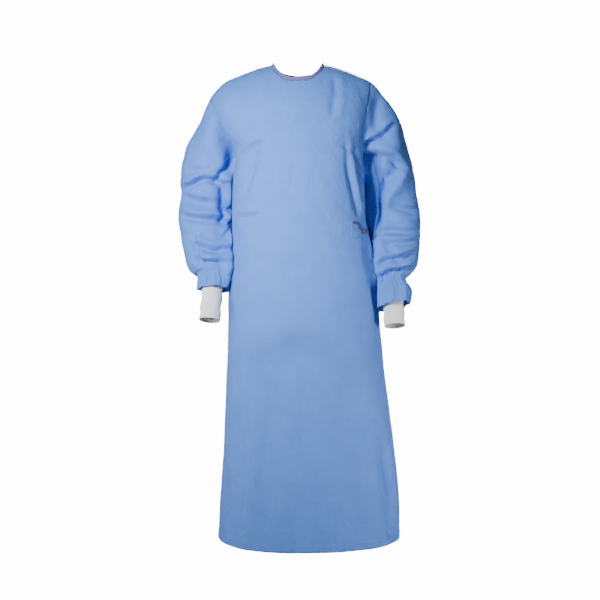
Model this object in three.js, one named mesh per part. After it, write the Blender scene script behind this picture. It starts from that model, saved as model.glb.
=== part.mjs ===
// A wrap-around surgical gown in its worn form: hollow cloth walls sewn edge to edge.
// Millimetres, +Z up. The front faces -Y and the wearer's left is +X.
// The origin lies between the shoulders, where the gown is carried.

import * as THREE from 'three';

// Cloth and sewing
const CLOTH = 1.6;
const KNIT = 2.2;
const TAPE = 1.2;
const SEAM = 0.3;
const BACK_LAP = 5;
const SLEEVE_REST = 4.5;
const BINDING_WIDTH = 9;
const BINDING_WALL = 2.4;
const BINDING_STAND = 0.8;
const CUFF_RADIUS = 27;
const CUFF_LENGTH = 118;
const CUFF_TAPER = 26;

// Body of the gown
const HEM_Z = -1177;
const ARMPIT_Z = -235;
const CHEST_Z = -420;
const OVAL_POWER = 0.87;
const SHOULDER_ROLL = 140;
const NECK_HALF_WIDTH = 69;
const NECK_FRONT_Z = 4;
const NECK_BACK_Z = 17;
const LAP_AT_NECK = THREE.MathUtils.degToRad(7);
const LAP_AT_HEM = { left: THREE.MathUtils.degToRad(23), right: THREE.MathUtils.degToRad(38) };
const LAP_RISE = { from: THREE.MathUtils.degToRad(138), to: THREE.MathUtils.degToRad(154) };
const LAP_BELOW_SHOULDER = { from: 15, to: 75 };
const FOLDS_END = { from: THREE.MathUtils.degToRad(74), to: THREE.MathUtils.degToRad(88) };
const COLUMN_SPREAD = 3;
const SHOULDER_X = { right: 225, left: 188.5 };

// Sleeves: lengths that one station and one radian stand for, and the gathers above and below the pinch
const STATION_LENGTH = 52;
const TURN_RADIUS = 66;
const GATHERS = 7;
const GATHER_STATIONS = 3.5;
const GATHER_DEPTH = { pinched: 2.2, flared: 1.6 };
const FOLD_FADE = { start: -0.05, full: 0.3 };

// Waist tie on the wearer's left
const PATCH = { left: 134, right: 159, top: -349, bottom: -391, wall: 1.2 };
const TIE_WIDTH = 7;
const TIE_ROUTE = [[137, -353.5], [149, -355], [155, -361], [155.5, -370]];
const BELT_WIDTH = 12;
const BELT_Z = -376;
const BELT_END_X = 161;
const BELT_ON_BACK = 3;
const BELT_SHORT_OF_LAP = 2;
const KNOT = { x: 165, z: -376, wide: 7, deep: 4.5, tall: 6.5 };

// Divisions of the walls
const NECK_COLUMNS = 6;
const SHOULDER_COLUMNS = 6;
const LAP_COLUMNS = 3;
const SKIRT_ROWS = 11;
const SIDE_ROWS = 4;
const ARMHOLE_ROWS = 14;
const CUFF_ROWS = 4;
const CAP_STEPS = [0, 0.05, 0.12, 0.22, 0.38, 0.64];
const FULL_STEP = 0.5;
const GATHERED_STEP = 1;
const GATHERED_ROWS = 3;
const PATCH_COLUMNS = 9;
const PATCH_ROWS = 5;
const TIE_COLUMNS = 9;
const KNOT_SEGMENTS = 12;
const KNOT_RINGS = 8;

const CLOTH_BLUE = new THREE.MeshStandardMaterial({ color: 0x8fb0dc, roughness: 0.8, metalness: 0 });
const BINDING_MAUVE = new THREE.MeshStandardMaterial({ color: 0x9096bd, roughness: 0.75, metalness: 0 });
const KNIT_WHITE = new THREE.MeshStandardMaterial({ color: 0xf1f2f4, roughness: 0.9, metalness: 0 });

// A smooth table: the first column is the position, the others are named values read off at it.
function table(columns, rows) {
  const positions = rows.map((row) => row[0]);
  const samples = rows.flatMap((row) => row.slice(1));
  const spline = new THREE.CubicInterpolant(positions, samples, columns.length - 1);
  return (position) => {
    const values = spline.evaluate(position);
    return Object.fromEntries(columns.slice(1).map((name, index) => [name, values[index]]));
  };
}

// Sections of the body from hem to neck: half widths on the wearer's right and left, depths front and back.
const BODY = table(['z', 'right', 'left', 'front', 'back'], [
  [-1177, 210, 268, 198, 178],
  [-1100, 206, 267, 188, 171],
  [-1024, 200, 261, 179, 164],
  [-920, 195, 250, 168, 157],
  [-790, 189, 232, 162, 149],
  [-660, 184, 217, 159, 140],
  [-570, 181, 210, 157, 132],
  [-504, 178, 207, 150, 124],
  [-460, 173, 199, 144, 116],
  [-416, 171, 190, 139, 110],
  [-350, 171, 176, 135, 107],
  [-300, 170, 174, 134, 108],
  [-235, 168, 172, 130, 111],
  [-190, 161, 170, 125, 112],
  [-165, 167, 172, 122, 111],
  [-140, 188, 176, 119, 110],
  [-88, 222, 187, 113, 107],
  [-42, 243, 197, 107, 101],
  [0, 250, 205, 100, 95],
  [52, 255, 225, 95, 88],
]);

// Height of the shoulder line against the distance from the middle.
const RIDGE = table(['x', 'z'], [
  [0, 58],
  [70, 48],
  [100, 41],
  [125, 32],
  [151, 22],
  [190, 4],
  [215, -20],
  [235, -48],
  [260, -90],
]);

// Armhole edges: how far round the body the edge lies at each height, in degrees from front or back middle.
const ARMHOLE_EDGE = {
  right: [[-235, 90], [-215, 84], [-190, 78], [-165, 73], [-140, 69], [-115, 66], [-88, 64.5]],
  left: [[-235, 90], [-200, 80], [-165, 73.5], [-125, 69], [-80, 66], [-40, 64.5]],
};

// Sleeve sections from the arm's top to the sleeve end: the outer and inner points seen from the front,
// the place from front to back, the half depths to front and back, and the lean of the section in degrees.
const SLEEVE_COLUMNS = ['station', 'outX', 'outZ', 'inX', 'inZ', 'y', 'front', 'back', 'lean'];
const SLEEVES = {
  right: {
    side: -1,
    pinch: 9,
    end: 11,
    sections: table(SLEEVE_COLUMNS, [
      [0, 270, -118, 171, -250, 28, 66, 66, 0],
      [1, 294, -165, 168, -272, 33, 66, 68, 0],
      [2, 306, -225, 166, -300, 34, 66, 66, 0],
      [3, 307, -285, 166, -330, 34, 64, 64, 5],
      [4, 313, -330, 167, -365, 26, 62, 62, 10],
      [5, 307, -385, 170, -405, 10, 60, 58, 18],
      [6, 294, -445, 172, -445, -12, 56, 55, 26],
      [7, 284, -472, 172, -470, -25, 50, 50, 30],
      [8, 269, -485, 174, -486, -34, 40, 42, 32],
      [9, 256, -487, 178, -500, -40, 30, 30, 28],
      [10, 257, -508, 177, -513, -47, 33, 33, 24],
      [11, 258, -526, 181, -527, -53, 36, 36, 20],
    ]),
  },
  left: {
    side: 1,
    pinch: 8,
    end: 10,
    sections: table(SLEEVE_COLUMNS, [
      [0, 277, -120, 173, -260, 27, 66, 66, 0],
      [1, 299, -203, 172, -285, 32, 66, 68, 0],
      [2, 308, -265, 170, -320, 34, 65, 65, 3],
      [3, 319, -328, 172, -355, 30, 64, 64, 8],
      [4, 320, -369, 178, -395, 18, 62, 60, 15],
      [5, 316, -430, 184, -440, -2, 58, 56, 24],
      [6, 309, -465, 192, -480, -16, 52, 52, 30],
      [7, 293, -485, 200, -497, -24, 42, 42, 33],
      [8, 276, -502, 208, -515, -30, 31, 31, 32],
      [9, 290, -528, 201, -537, -40, 37, 37, 27],
      [10, 287, -562, 203, -577, -54, 40, 40, 22],
    ]),
  },
};

// Largest folds of the front, seen from the front: soft troughs from one point to another.
const FRONT_FOLDS = [
  { fromX: 118, fromZ: -140, toX: 138, toZ: -318, width: 13, depth: 5 },
  { fromX: 168, fromZ: -392, toX: 188, toZ: -560, width: 13, depth: 5 },
  { fromX: -150, fromZ: -175, toX: -132, toZ: -300, width: 13, depth: 4 },
  { fromX: 205, fromZ: -900, toX: 226, toZ: -1160, width: 20, depth: 7 },
  { fromX: -150, fromZ: -760, toX: -172, toZ: -1160, width: 24, depth: 6 },
];

// Largest folds of the sleeves: by station along the sleeve, and by degrees forwards from the outer side.
const SLEEVE_FOLDS = {
  right: [
    { fromStation: 2.1, fromTurn: 20, toStation: 2.5, toTurn: 130, width: 13, depth: 7 },
    { fromStation: 3.4, fromTurn: 70, toStation: 3.9, toTurn: 165, width: 12, depth: 5 },
    { fromStation: 4.6, fromTurn: 40, toStation: 5.2, toTurn: 120, width: 12, depth: 5 },
    { fromStation: 2.4, fromTurn: 200, toStation: 3.2, toTurn: 320, width: 14, depth: 6 },
    { fromStation: 4.2, fromTurn: 210, toStation: 4.8, toTurn: 310, width: 14, depth: 5 },
  ],
  left: [
    { fromStation: 0.2, fromTurn: 150, toStation: 0.4, toTurn: 60, width: 13, depth: 6 },
    { fromStation: 0.8, fromTurn: 160, toStation: 1.6, toTurn: 60, width: 13, depth: 6 },
    { fromStation: 3.2, fromTurn: 150, toStation: 4.4, toTurn: 60, width: 13, depth: 6 },
    { fromStation: 2.2, fromTurn: 205, toStation: 3.0, toTurn: 320, width: 14, depth: 6 },
    { fromStation: 4.0, fromTurn: 210, toStation: 4.6, toTurn: 310, width: 14, depth: 5 },
  ],
};

const UP = new THREE.Vector3(0, 0, 1);
const { clamp, degToRad, lerp, radToDeg, smoothstep } = THREE.MathUtils;

function signedPower(value, power) {
  return Math.sign(value) * Math.abs(value) ** power;
}

// A point of the gown's body: an oval section at each height, rounded over along the shoulder line.
function bodyPoint(angle, z) {
  const section = BODY(z);
  const across = Math.sin(angle);
  const forward = Math.cos(angle);
  const x = (across < 0 ? section.right : section.left) * signedPower(across, OVAL_POWER);
  const below = clamp((RIDGE(Math.abs(x)).z - z) / SHOULDER_ROLL, 0, 1);
  const roll = Math.sqrt(1 - (1 - below) ** 2);
  const depth = forward > 0 ? section.front : section.back;
  return new THREE.Vector3(x, -depth * signedPower(forward, OVAL_POWER) * roll, z);
}

function bodyNormal(angle, z) {
  const step = 0.01;
  const round = bodyPoint(angle + step, z).sub(bodyPoint(angle - step, z));
  const upward = bodyPoint(angle, z + 1).sub(bodyPoint(angle, z - 1));
  return round.cross(upward).normalize();
}

// Across the shoulder line the cloth faces square to the line itself.
function ridgeNormal(x) {
  const slope = (RIDGE(Math.abs(x) + 1).z - RIDGE(Math.abs(x) - 1).z) / 2;
  return new THREE.Vector3(-slope * Math.sign(x), 0, 1).normalize();
}

function bodyMovedOut(angle, z, distance) {
  const point = bodyPoint(angle, z);
  return distance === 0 ? point : point.addScaledVector(bodyNormal(angle, z), distance);
}

// The angle from the front middle at which the body has a given x.
function angleAtX(x, z) {
  const section = BODY(z);
  const share = Math.abs(x) / (x < 0 ? section.right : section.left);
  return Math.sign(x) * Math.asin(Math.min(1, share ** (1 / OVAL_POWER)));
}

function evenly(from, to, count) {
  return Array.from({ length: count }, (_, index) => lerp(from, to, index / (count - 1)));
}

// Parameters that divide a curve into steps of even length.
function evenSteps(pointAt, count) {
  const curve = new THREE.Curve();
  curve.getPoint = pointAt;
  return Array.from({ length: count + 1 }, (_, step) => curve.getUtoTmapping(step / count));
}

// Depth of a set of folds at a place: each is a soft trough along a line, fading at both of its ends.
function foldDepth(folds, place) {
  return folds.reduce((sum, fold) => {
    const along = fold.to.clone().sub(fold.from);
    const share = place.clone().sub(fold.from).dot(along) / along.lengthSq();
    const nearest = fold.from.clone().addScaledVector(along, clamp(share, 0, 1));
    const fade = smoothstep(share, FOLD_FADE.start, FOLD_FADE.full)
      * smoothstep(1 - share, FOLD_FADE.start, FOLD_FADE.full);
    return sum + fold.depth * fade * Math.exp(-((place.distanceTo(nearest) / fold.width) ** 2));
  }, 0);
}

const frontFolds = FRONT_FOLDS.map((fold) => ({
  ...fold,
  from: new THREE.Vector2(fold.fromX, fold.fromZ),
  to: new THREE.Vector2(fold.toX, fold.toZ),
}));

// How far the front lies inside the plain body: its folds, which end before the side seams.
function frontLift(angle, z) {
  const point = bodyPoint(angle, z);
  const clearOfSeam = 1 - smoothstep(Math.abs(angle), FOLDS_END.from, FOLDS_END.to);
  return -clearOfSeam * foldDepth(frontFolds, new THREE.Vector2(point.x, point.z));
}

// The outer back panel steps out where it laps over the inner one, but not at its shoulder seam.
function outerBackLift(angle, z) {
  const clearOfShoulder = smoothstep(overShoulder(angle, z), LAP_BELOW_SHOULDER.from, LAP_BELOW_SHOULDER.to);
  return BACK_LAP * clearOfShoulder * smoothstep(Math.abs(angle), LAP_RISE.from, LAP_RISE.to);
}

// How far a place lies below the shoulder line, measured over the rounded cloth, and the height it lies at.
function overShoulder(angle, z) {
  const below = (RIDGE(Math.abs(bodyPoint(angle, z).x)).z - z) / SHOULDER_ROLL;
  return SHOULDER_ROLL * (below < 1 ? Math.acos(1 - Math.max(below, 0)) : Math.PI / 2 + below - 1);
}

function heightAt(angle, over) {
  let low = HEM_Z;
  let high = RIDGE(0).z;
  for (let halving = 0; halving < 40; halving += 1) {
    const middle = (low + high) / 2;
    if (overShoulder(angle, middle) > Math.max(over, 0)) {
      low = middle;
    } else {
      high = middle;
    }
  }
  return high;
}

// Half of a body panel, seen as a sheet with four sides: the middle line, the chest line, the side with the
// armhole above it, and the upper edge with neckline and shoulder seam. A place on it is its turn from the
// middle and its distance over the shoulder. Places inside are blended from the four sides, so that columns
// leave the upper edge well spread.
function panelHalf(sideName, facesFront) {
  const side = sideName === 'left' ? 1 : -1;
  const angleOf = (turn) => side * (facesFront ? turn : Math.PI - turn);
  const placeOf = (turn, z) => new THREE.Vector2(turn, overShoulder(angleOf(turn), z));
  const pointOf = (turn, z) => bodyPoint(angleOf(turn), z);
  const turnAtX = (x, z) => Math.abs(angleAtX(side * x, z));

  const neckZ = (x) => {
    const rise = 1 - Math.sqrt(1 - (x / NECK_HALF_WIDTH) ** 2);
    return lerp(facesFront ? NECK_FRONT_Z : NECK_BACK_Z, RIDGE(NECK_HALF_WIDTH).z, rise);
  };
  const neckAt = (t) => {
    const x = NECK_HALF_WIDTH * Math.sin(t * Math.PI / 2);
    return [turnAtX(x, neckZ(x)), neckZ(x)];
  };
  const shoulderAt = (t) => {
    const x = lerp(NECK_HALF_WIDTH, SHOULDER_X[sideName], t);
    return [turnAtX(x, RIDGE(x).z), RIDGE(x).z];
  };
  const [shoulderTurn, shoulderZ] = shoulderAt(1);
  const edge = table(['z', 'degrees'], [...ARMHOLE_EDGE[sideName], [shoulderZ, radToDeg(shoulderTurn)]]);
  const armholeAt = (t) => {
    const z = lerp(ARMPIT_Z, shoulderZ, 1 - (1 - t) ** 2);
    return [degToRad(edge(z).degrees), z];
  };
  const sideAt = (t) => [Math.PI / 2, lerp(CHEST_Z, ARMPIT_Z, t)];
  const spaced = (placeAt, count) => {
    const steps = evenSteps((t) => pointOf(...placeAt(t)), count);
    return steps.map((t) => placeOf(...placeAt(t)));
  };

  const columns = NECK_COLUMNS + SHOULDER_COLUMNS;
  const rows = SIDE_ROWS + ARMHOLE_ROWS;
  const upper = [...spaced(neckAt, NECK_COLUMNS), ...spaced(shoulderAt, SHOULDER_COLUMNS).slice(1)];
  const outer = [...spaced(sideAt, SIDE_ROWS), ...spaced(armholeAt, ARMHOLE_ROWS).slice(1)];
  const chest = evenly(0, Math.PI / 2, columns + 1).map((turn) => placeOf(turn, CHEST_Z));
  const middle = evenly(0, 1, rows + 1).map((t) => chest[0].clone().lerp(upper[0], t));
  const between = (low, high, share) => new THREE.Vector2(
    lerp(low.x, high.x, share ** COLUMN_SPREAD),
    lerp(low.y, high.y, share),
  );
  const inside = (i, j) => {
    const u = i / columns;
    const v = j / rows;
    const along = between(chest[i], upper[i], v);
    const across = middle[j].clone().lerp(outer[j], u);
    const chestCorners = chest[0].clone().lerp(chest[columns], u);
    const upperCorners = upper[0].clone().lerp(upper[columns], u);
    return along.add(across).sub(between(chestCorners, upperCorners, v));
  };
  const skirt = evenly(HEM_Z, CHEST_Z, SKIRT_ROWS + 1).slice(0, -1);
  return chest.map((foot, i) => [
    ...skirt.map((z) => ({ angle: angleOf(foot.x), z })),
    ...middle.map((_, j) => {
      const place = inside(i, j);
      return { angle: angleOf(place.x), z: heightAt(angleOf(place.x), place.y) };
    }),
  ]);
}

// The lap of a back panel: columns past the back middle to its free edge, which widen towards the hem.
function lapColumns(sideName, middleColumn) {
  const side = sideName === 'left' ? 1 : -1;
  const neckSideZ = RIDGE(NECK_HALF_WIDTH).z;
  return evenly(0, 1, LAP_COLUMNS + 1).slice(1).map((share) => middleColumn.map(({ z }, j) => {
    const drop = (NECK_BACK_Z - z) / (NECK_BACK_Z - HEM_Z);
    const angle = side * (Math.PI + share * lerp(LAP_AT_NECK, LAP_AT_HEM[sideName], drop));
    const across = Math.abs(bodyPoint(angle, z).x) / NECK_HALF_WIDTH;
    const neckRise = (neckSideZ - NECK_BACK_Z) * (1 - Math.sqrt(1 - Math.min(1, across ** 2)));
    const nearNeck = clamp((j - SKIRT_ROWS) / (SIDE_ROWS + ARMHOLE_ROWS), 0, 1);
    return { angle, z: z + neckRise * nearNeck };
  }));
}

// Outward directions of a grid of points, from its neighbours. A closed grid runs round a tube.
function gridNormals(grid, closed) {
  const count = grid.length;
  const column = (index) => grid[closed ? (index + count) % count : clamp(index, 0, count - 1)];
  return grid.map((points, i) => points.map((_, j) => {
    const round = column(i + 1)[j].clone().sub(column(i - 1)[j]);
    const above = points[Math.min(j + 1, points.length - 1)];
    const below = points[Math.max(j - 1, 0)];
    return round.cross(above.clone().sub(below)).normalize();
  }));
}

function movedIn(grid, normals, thickness) {
  return grid.map((points, i) => points.map((p, j) => p.clone().addScaledVector(normals[i][j], -thickness)));
}

// A closed wall between an outer and an inner grid of points, with rims along its free edges.
function wallGeometry(outer, inner, closed) {
  const columns = outer.length;
  const rows = outer[0].length;
  const points = [...outer.flat(), ...inner.flat()];
  const out = (i, j) => (i % columns) * rows + j;
  const into = (i, j) => columns * rows + out(i, j);
  const indices = [];
  const quad = (a, b, c, d) => {
    const splitFromA = points[a].distanceTo(points[c]) <= points[b].distanceTo(points[d]);
    indices.push(...(splitFromA ? [a, b, c, a, c, d] : [a, b, d, b, c, d]));
  };
  const spans = closed ? columns : columns - 1;
  for (let i = 0; i < spans; i += 1) {
    for (let j = 0; j < rows - 1; j += 1) {
      quad(out(i, j), out(i + 1, j), out(i + 1, j + 1), out(i, j + 1));
      quad(into(i, j), into(i, j + 1), into(i + 1, j + 1), into(i + 1, j));
    }
    quad(out(i + 1, 0), out(i, 0), into(i, 0), into(i + 1, 0));
    quad(out(i, rows - 1), out(i + 1, rows - 1), into(i + 1, rows - 1), into(i, rows - 1));
  }
  for (let j = 0; !closed && j < rows - 1; j += 1) {
    quad(out(0, j), out(0, j + 1), into(0, j + 1), into(0, j));
    quad(out(spans, j + 1), out(spans, j), into(spans, j), into(spans, j + 1));
  }
  const geometry = new THREE.BufferGeometry().setFromPoints(points);
  geometry.setIndex(indices);
  geometry.computeVertexNormals();
  return geometry;
}

function piece(name, geometry, material) {
  const mesh = new THREE.Mesh(geometry, material);
  mesh.name = name;
  return mesh;
}

// A body panel from its columns of places, in rising angle. Half a seam's gap lies before or behind the side
// and shoulder seams, where both walls stand square to the seam.
function bodyPanel(columns, lift, facing, seamColumns) {
  const halfSeam = new THREE.Vector3(0, facing * SEAM / 2, 0);
  const grid = columns.map((places) => (
    places.map(({ angle, z }) => bodyMovedOut(angle, z, lift(angle, z)).add(halfSeam))
  ));
  const normals = gridNormals(grid, false);
  const top = grid[0].length - 1;
  columns.forEach((places, i) => {
    const { angle, z } = places[top];
    const onShoulder = overShoulder(angle, z) < 1;
    normals[i][top] = onShoulder ? ridgeNormal(grid[i][top].x) : bodyNormal(angle, z);
  });
  seamColumns.forEach((i) => {
    columns[i].forEach(({ angle, z }, j) => {
      const onArmhole = z > ARMPIT_Z + 1 && j < top;
      normals[i][j] = onArmhole ? bodyNormal(angle, z) : normals[i][j].setY(0).normalize();
    });
  });
  return { geometry: wallGeometry(grid, movedIn(grid, normals, CLOTH), false), grid, normals };
}

const frontColumns = [...panelHalf('right', true).reverse(), ...panelHalf('left', true).slice(1)];
const front = bodyPanel(frontColumns, frontLift, -1, [0, frontColumns.length - 1]);

const leftHalf = panelHalf('left', false);
const backLeftColumns = [...leftHalf.reverse(), ...lapColumns('left', leftHalf.at(-1))];
const backLeft = bodyPanel(backLeftColumns, () => 0, 1, [0]);

const rightHalf = panelHalf('right', false);
const backRightColumns = [...lapColumns('right', rightHalf[0]).reverse(), ...rightHalf];
const backRight = bodyPanel(backRightColumns, outerBackLift, 1, [backRightColumns.length - 1]);

// A place on one column of a panel at a height, moved out.
function onColumn(panel, column, z, out) {
  const points = panel.grid[column];
  const row = clamp(points.findIndex((point) => point.z > z) - 1, 0, points.length - 2);
  const share = (z - points[row].z) / (points[row + 1].z - points[row].z);
  const normal = panel.normals[column][row].clone().lerp(panel.normals[column][row + 1], share).normalize();
  return points[row].clone().lerp(points[row + 1], share).addScaledVector(normal, out);
}

// A place on the front's cloth, seen straight from the front at x and z, moved out.
const frontCloth = new THREE.Mesh(front.geometry, CLOTH_BLUE);
const sight = new THREE.Raycaster();
function onFront(x, z, out) {
  sight.set(new THREE.Vector3(x, -1000, z), new THREE.Vector3(0, 1, 0));
  const [hit] = sight.intersectObject(frontCloth);
  return hit.point.addScaledVector(bodyNormal(angleAtX(x, z), z), out);
}

// The armhole as a closed loop of seam points: down the front from the shoulder and up the back again.
function armholeLoop(sideName) {
  const isLeft = sideName === 'left';
  const edgeOf = (panel, column) => panel.grid[column].slice(-ARMHOLE_ROWS - 1).map((point, index) => ({
    point: point.clone(),
    normal: panel.normals[column].at(index - ARMHOLE_ROWS - 1),
  }));
  const frontEdge = isLeft ? edgeOf(front, front.grid.length - 1) : edgeOf(front, 0);
  const backEdge = isLeft ? edgeOf(backLeft, 0) : edgeOf(backRight, backRight.grid.length - 1);
  const loop = [...frontEdge.reverse(), ...backEdge.slice(1, -1)];
  [0, ARMHOLE_ROWS].forEach((index) => loop[index].point.setY(0));
  return loop.map((place, index) => {
    const next = loop[(index + 1) % loop.length].point;
    const previous = loop[(index - 1 + loop.length) % loop.length].point;
    const along = next.clone().sub(previous);
    const away = place.normal.clone().cross(along).normalize().multiplyScalar(isLeft ? 1 : -1);
    return { ...place, away };
  });
}

function sleeveMiddle(sleeve, station) {
  const row = sleeve.sections(station);
  return new THREE.Vector3(sleeve.side * (row.outX + row.inX) / 2, row.y, (row.outZ + row.inZ) / 2);
}

// A point of the sleeve's plain section, with the gathers that tighten towards the pinch and flare below it.
function sleevePoint(sleeve, station, turn) {
  const row = sleeve.sections(station);
  const middle = sleeveMiddle(sleeve, station);
  const outward = new THREE.Vector3(sleeve.side * (row.outX - row.inX) / 2, 0, (row.outZ - row.inZ) / 2);
  const depth = Math.sin(turn) > 0 ? row.front : row.back;
  const lean = degToRad(row.lean);
  const forward = new THREE.Vector3(0, -depth * Math.cos(lean), depth * Math.sin(lean));
  const spoke = outward.multiplyScalar(Math.cos(turn)).addScaledVector(forward, Math.sin(turn));
  const tightening = smoothstep(station, sleeve.pinch - GATHER_STATIONS, sleeve.pinch);
  const flare = smoothstep(station, sleeve.pinch, sleeve.end);
  const wave = GATHER_DEPTH.pinched * tightening + GATHER_DEPTH.flared * flare;
  return middle.addScaledVector(spoke, 1 + wave * Math.cos(GATHERS * turn) / spoke.length());
}

// Moves a sleeve point out to its rest beside the body.
function clearOfBody(point) {
  const section = BODY(point.z);
  const width = (point.x < 0 ? section.right : section.left) + SLEEVE_REST;
  const depth = (point.y < 0 ? section.front : section.back) + SLEEVE_REST;
  const power = 2 / OVAL_POWER;
  const inside = (Math.abs(point.x) / width) ** power + (Math.abs(point.y) / depth) ** power;
  const push = Math.max(1, inside ** (-1 / power));
  return point.set(point.x * push, point.y * push, point.z);
}

function makeSleeve(sideName) {
  const sleeve = SLEEVES[sideName];
  const loop = armholeLoop(sideName);
  const turns = loop.map((_, index) => index / loop.length * 2 * Math.PI);
  const folds = SLEEVE_FOLDS[sideName].map((fold) => ({
    ...fold,
    from: new THREE.Vector2(fold.fromStation * STATION_LENGTH, degToRad(fold.fromTurn) * TURN_RADIUS),
    to: new THREE.Vector2(fold.toStation * STATION_LENGTH, degToRad(fold.toTurn) * TURN_RADIUS),
  }));
  const ringPoint = (station, turn) => {
    const point = sleevePoint(sleeve, station, turn);
    const place = new THREE.Vector2(station * STATION_LENGTH, turn * TURN_RADIUS);
    const inward = sleeveMiddle(sleeve, station).sub(point).normalize();
    return clearOfBody(point.addScaledVector(inward, foldDepth(folds, place)));
  };

  // The sleeve head leaves the armhole in line with the body's cloth and swells into the first full section.
  const headPoint = (place, turn, share) => {
    const start = place.point.clone().addScaledVector(place.away, SEAM);
    const end = ringPoint(0, turn);
    const chord = start.distanceTo(end);
    const endDirection = ringPoint(FULL_STEP, turn).sub(end).normalize();
    const rest = share * share;
    return start.multiplyScalar(1 - 3 * rest + 2 * rest * share)
      .addScaledVector(end, 3 * rest - 2 * rest * share)
      .addScaledVector(place.away, chord * share * (1 - share) ** 2)
      .addScaledVector(endDirection, chord * rest * (share - 1));
  };

  const stations = [];
  const fullTo = sleeve.pinch - GATHERED_ROWS;
  for (let station = 0; station <= sleeve.end; station += station < fullTo ? FULL_STEP : GATHERED_STEP) {
    stations.push(station);
  }
  const outer = loop.map((place, index) => [
    ...CAP_STEPS.map((share) => headPoint(place, turns[index], share)),
    ...stations.map((station) => ringPoint(station, turns[index])),
  ]);
  if (sleeve.side < 0) {
    outer.reverse();
    loop.reverse();
  }
  const normals = gridNormals(outer, true);
  normals.forEach((column, index) => column[0].copy(loop[index].normal));
  const inner = movedIn(outer, normals, CLOTH);
  const pinchRow = CAP_STEPS.length + stations.indexOf(sleeve.pinch);
  return { geometry: wallGeometry(outer, inner, true), gathered: inner.map((column) => column[pinchRow]) };
}

const sleeveRight = makeSleeve('right');
const sleeveLeft = makeSleeve('left');

// A knit cuff: it starts inside the gathered ring of its sleeve and narrows to a plain tube along the wrist.
function cuffGeometry(sideName, gathered) {
  const sleeve = SLEEVES[sideName];
  const start = sleeveMiddle(sleeve, sleeve.pinch);
  const axis = sleeveMiddle(sleeve, sleeve.end).sub(start).normalize();
  const seat = gathered.map((point) => {
    const inward = start.clone().sub(point).normalize();
    return point.clone().addScaledVector(inward, SEAM);
  });
  const outer = seat.map((point) => {
    const spoke = point.clone().sub(start);
    const height = spoke.dot(axis);
    const round = spoke.addScaledVector(axis, -height).setLength(CUFF_RADIUS);
    return Array.from({ length: CUFF_ROWS + 1 }, (_, row) => {
      const run = row / CUFF_ROWS * CUFF_LENGTH;
      const tube = start.clone().add(round).addScaledVector(axis, run);
      const seated = point.clone().addScaledVector(axis, run);
      return seated.lerp(tube, smoothstep(run, 0, CUFF_TAPER));
    });
  });
  return wallGeometry(outer, movedIn(outer, gridNormals(outer, true), KNIT), true);
}

// The neck binding: one strip on the neck edge, from the inner back panel round the front to the outer one.
function bindingGeometry() {
  const topOf = (panel, from, to) => panel.grid.slice(from, to).map((column, index) => ({
    point: column.at(-1),
    normal: panel.normals[from + index].at(-1),
  }));
  const backNeck = NECK_COLUMNS + LAP_COLUMNS + 1;
  const inner = topOf(backLeft, SHOULDER_COLUMNS, SHOULDER_COLUMNS + backNeck).reverse();
  const middle = topOf(front, SHOULDER_COLUMNS, SHOULDER_COLUMNS + 2 * NECK_COLUMNS + 1).reverse();
  const outerBack = topOf(backRight, 0, backNeck).reverse();
  const route = [...inner, ...middle.slice(1), ...outerBack.slice(1)];
  const columns = route.map((place, index) => {
    const next = route[Math.min(index + 1, route.length - 1)].point;
    const previous = route[Math.max(index - 1, 0)].point;
    const along = next.clone().sub(previous).normalize();
    const away = along.clone().cross(place.normal).normalize();
    const rise = away.addScaledVector(UP, BINDING_STAND).normalize();
    const face = rise.clone().cross(along).normalize();
    const proud = (BINDING_WALL - CLOTH) / 2;
    const base = place.point.clone().addScaledVector(rise, SEAM).addScaledVector(face, proud);
    return { face, outer: [0, 0.5, 1].map((s) => base.clone().addScaledVector(rise, s * BINDING_WIDTH)) };
  }).reverse();
  const outer = columns.map((column) => column.outer);
  const normals = columns.map((column) => column.outer.map(() => column.face));
  return wallGeometry(outer, movedIn(outer, normals, BINDING_WALL), false);
}

// A flat strip from two edges of points on a panel, already moved out to its upper face.
function stripGeometry(edges, thickness) {
  return wallGeometry(edges, movedIn(edges, gridNormals(edges, false), thickness), false);
}

function patchGeometry() {
  const outer = evenly(PATCH.left, PATCH.right, PATCH_COLUMNS).map((x) => (
    evenly(PATCH.bottom, PATCH.top, PATCH_ROWS).map((z) => onFront(x, z, SEAM + PATCH.wall))
  ));
  return stripGeometry(outer, PATCH.wall);
}

// The short tie runs along the top of the patch and turns down to the knot.
function tieGeometry() {
  const out = SEAM + PATCH.wall + SEAM + TAPE;
  const route = new THREE.CatmullRomCurve3(TIE_ROUTE.map(([x, z]) => new THREE.Vector3(x, 0, z)));
  const edges = evenly(0, 1, TIE_COLUMNS).map((t) => {
    const across = route.getTangent(t).cross(new THREE.Vector3(0, -1, 0)).multiplyScalar(TIE_WIDTH / 2);
    const middle = route.getPoint(t);
    return [1, -1].map((edge) => onFront(middle.x + edge * across.x, middle.z + edge * across.z, out));
  });
  return stripGeometry(edges, TAPE);
}

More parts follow.
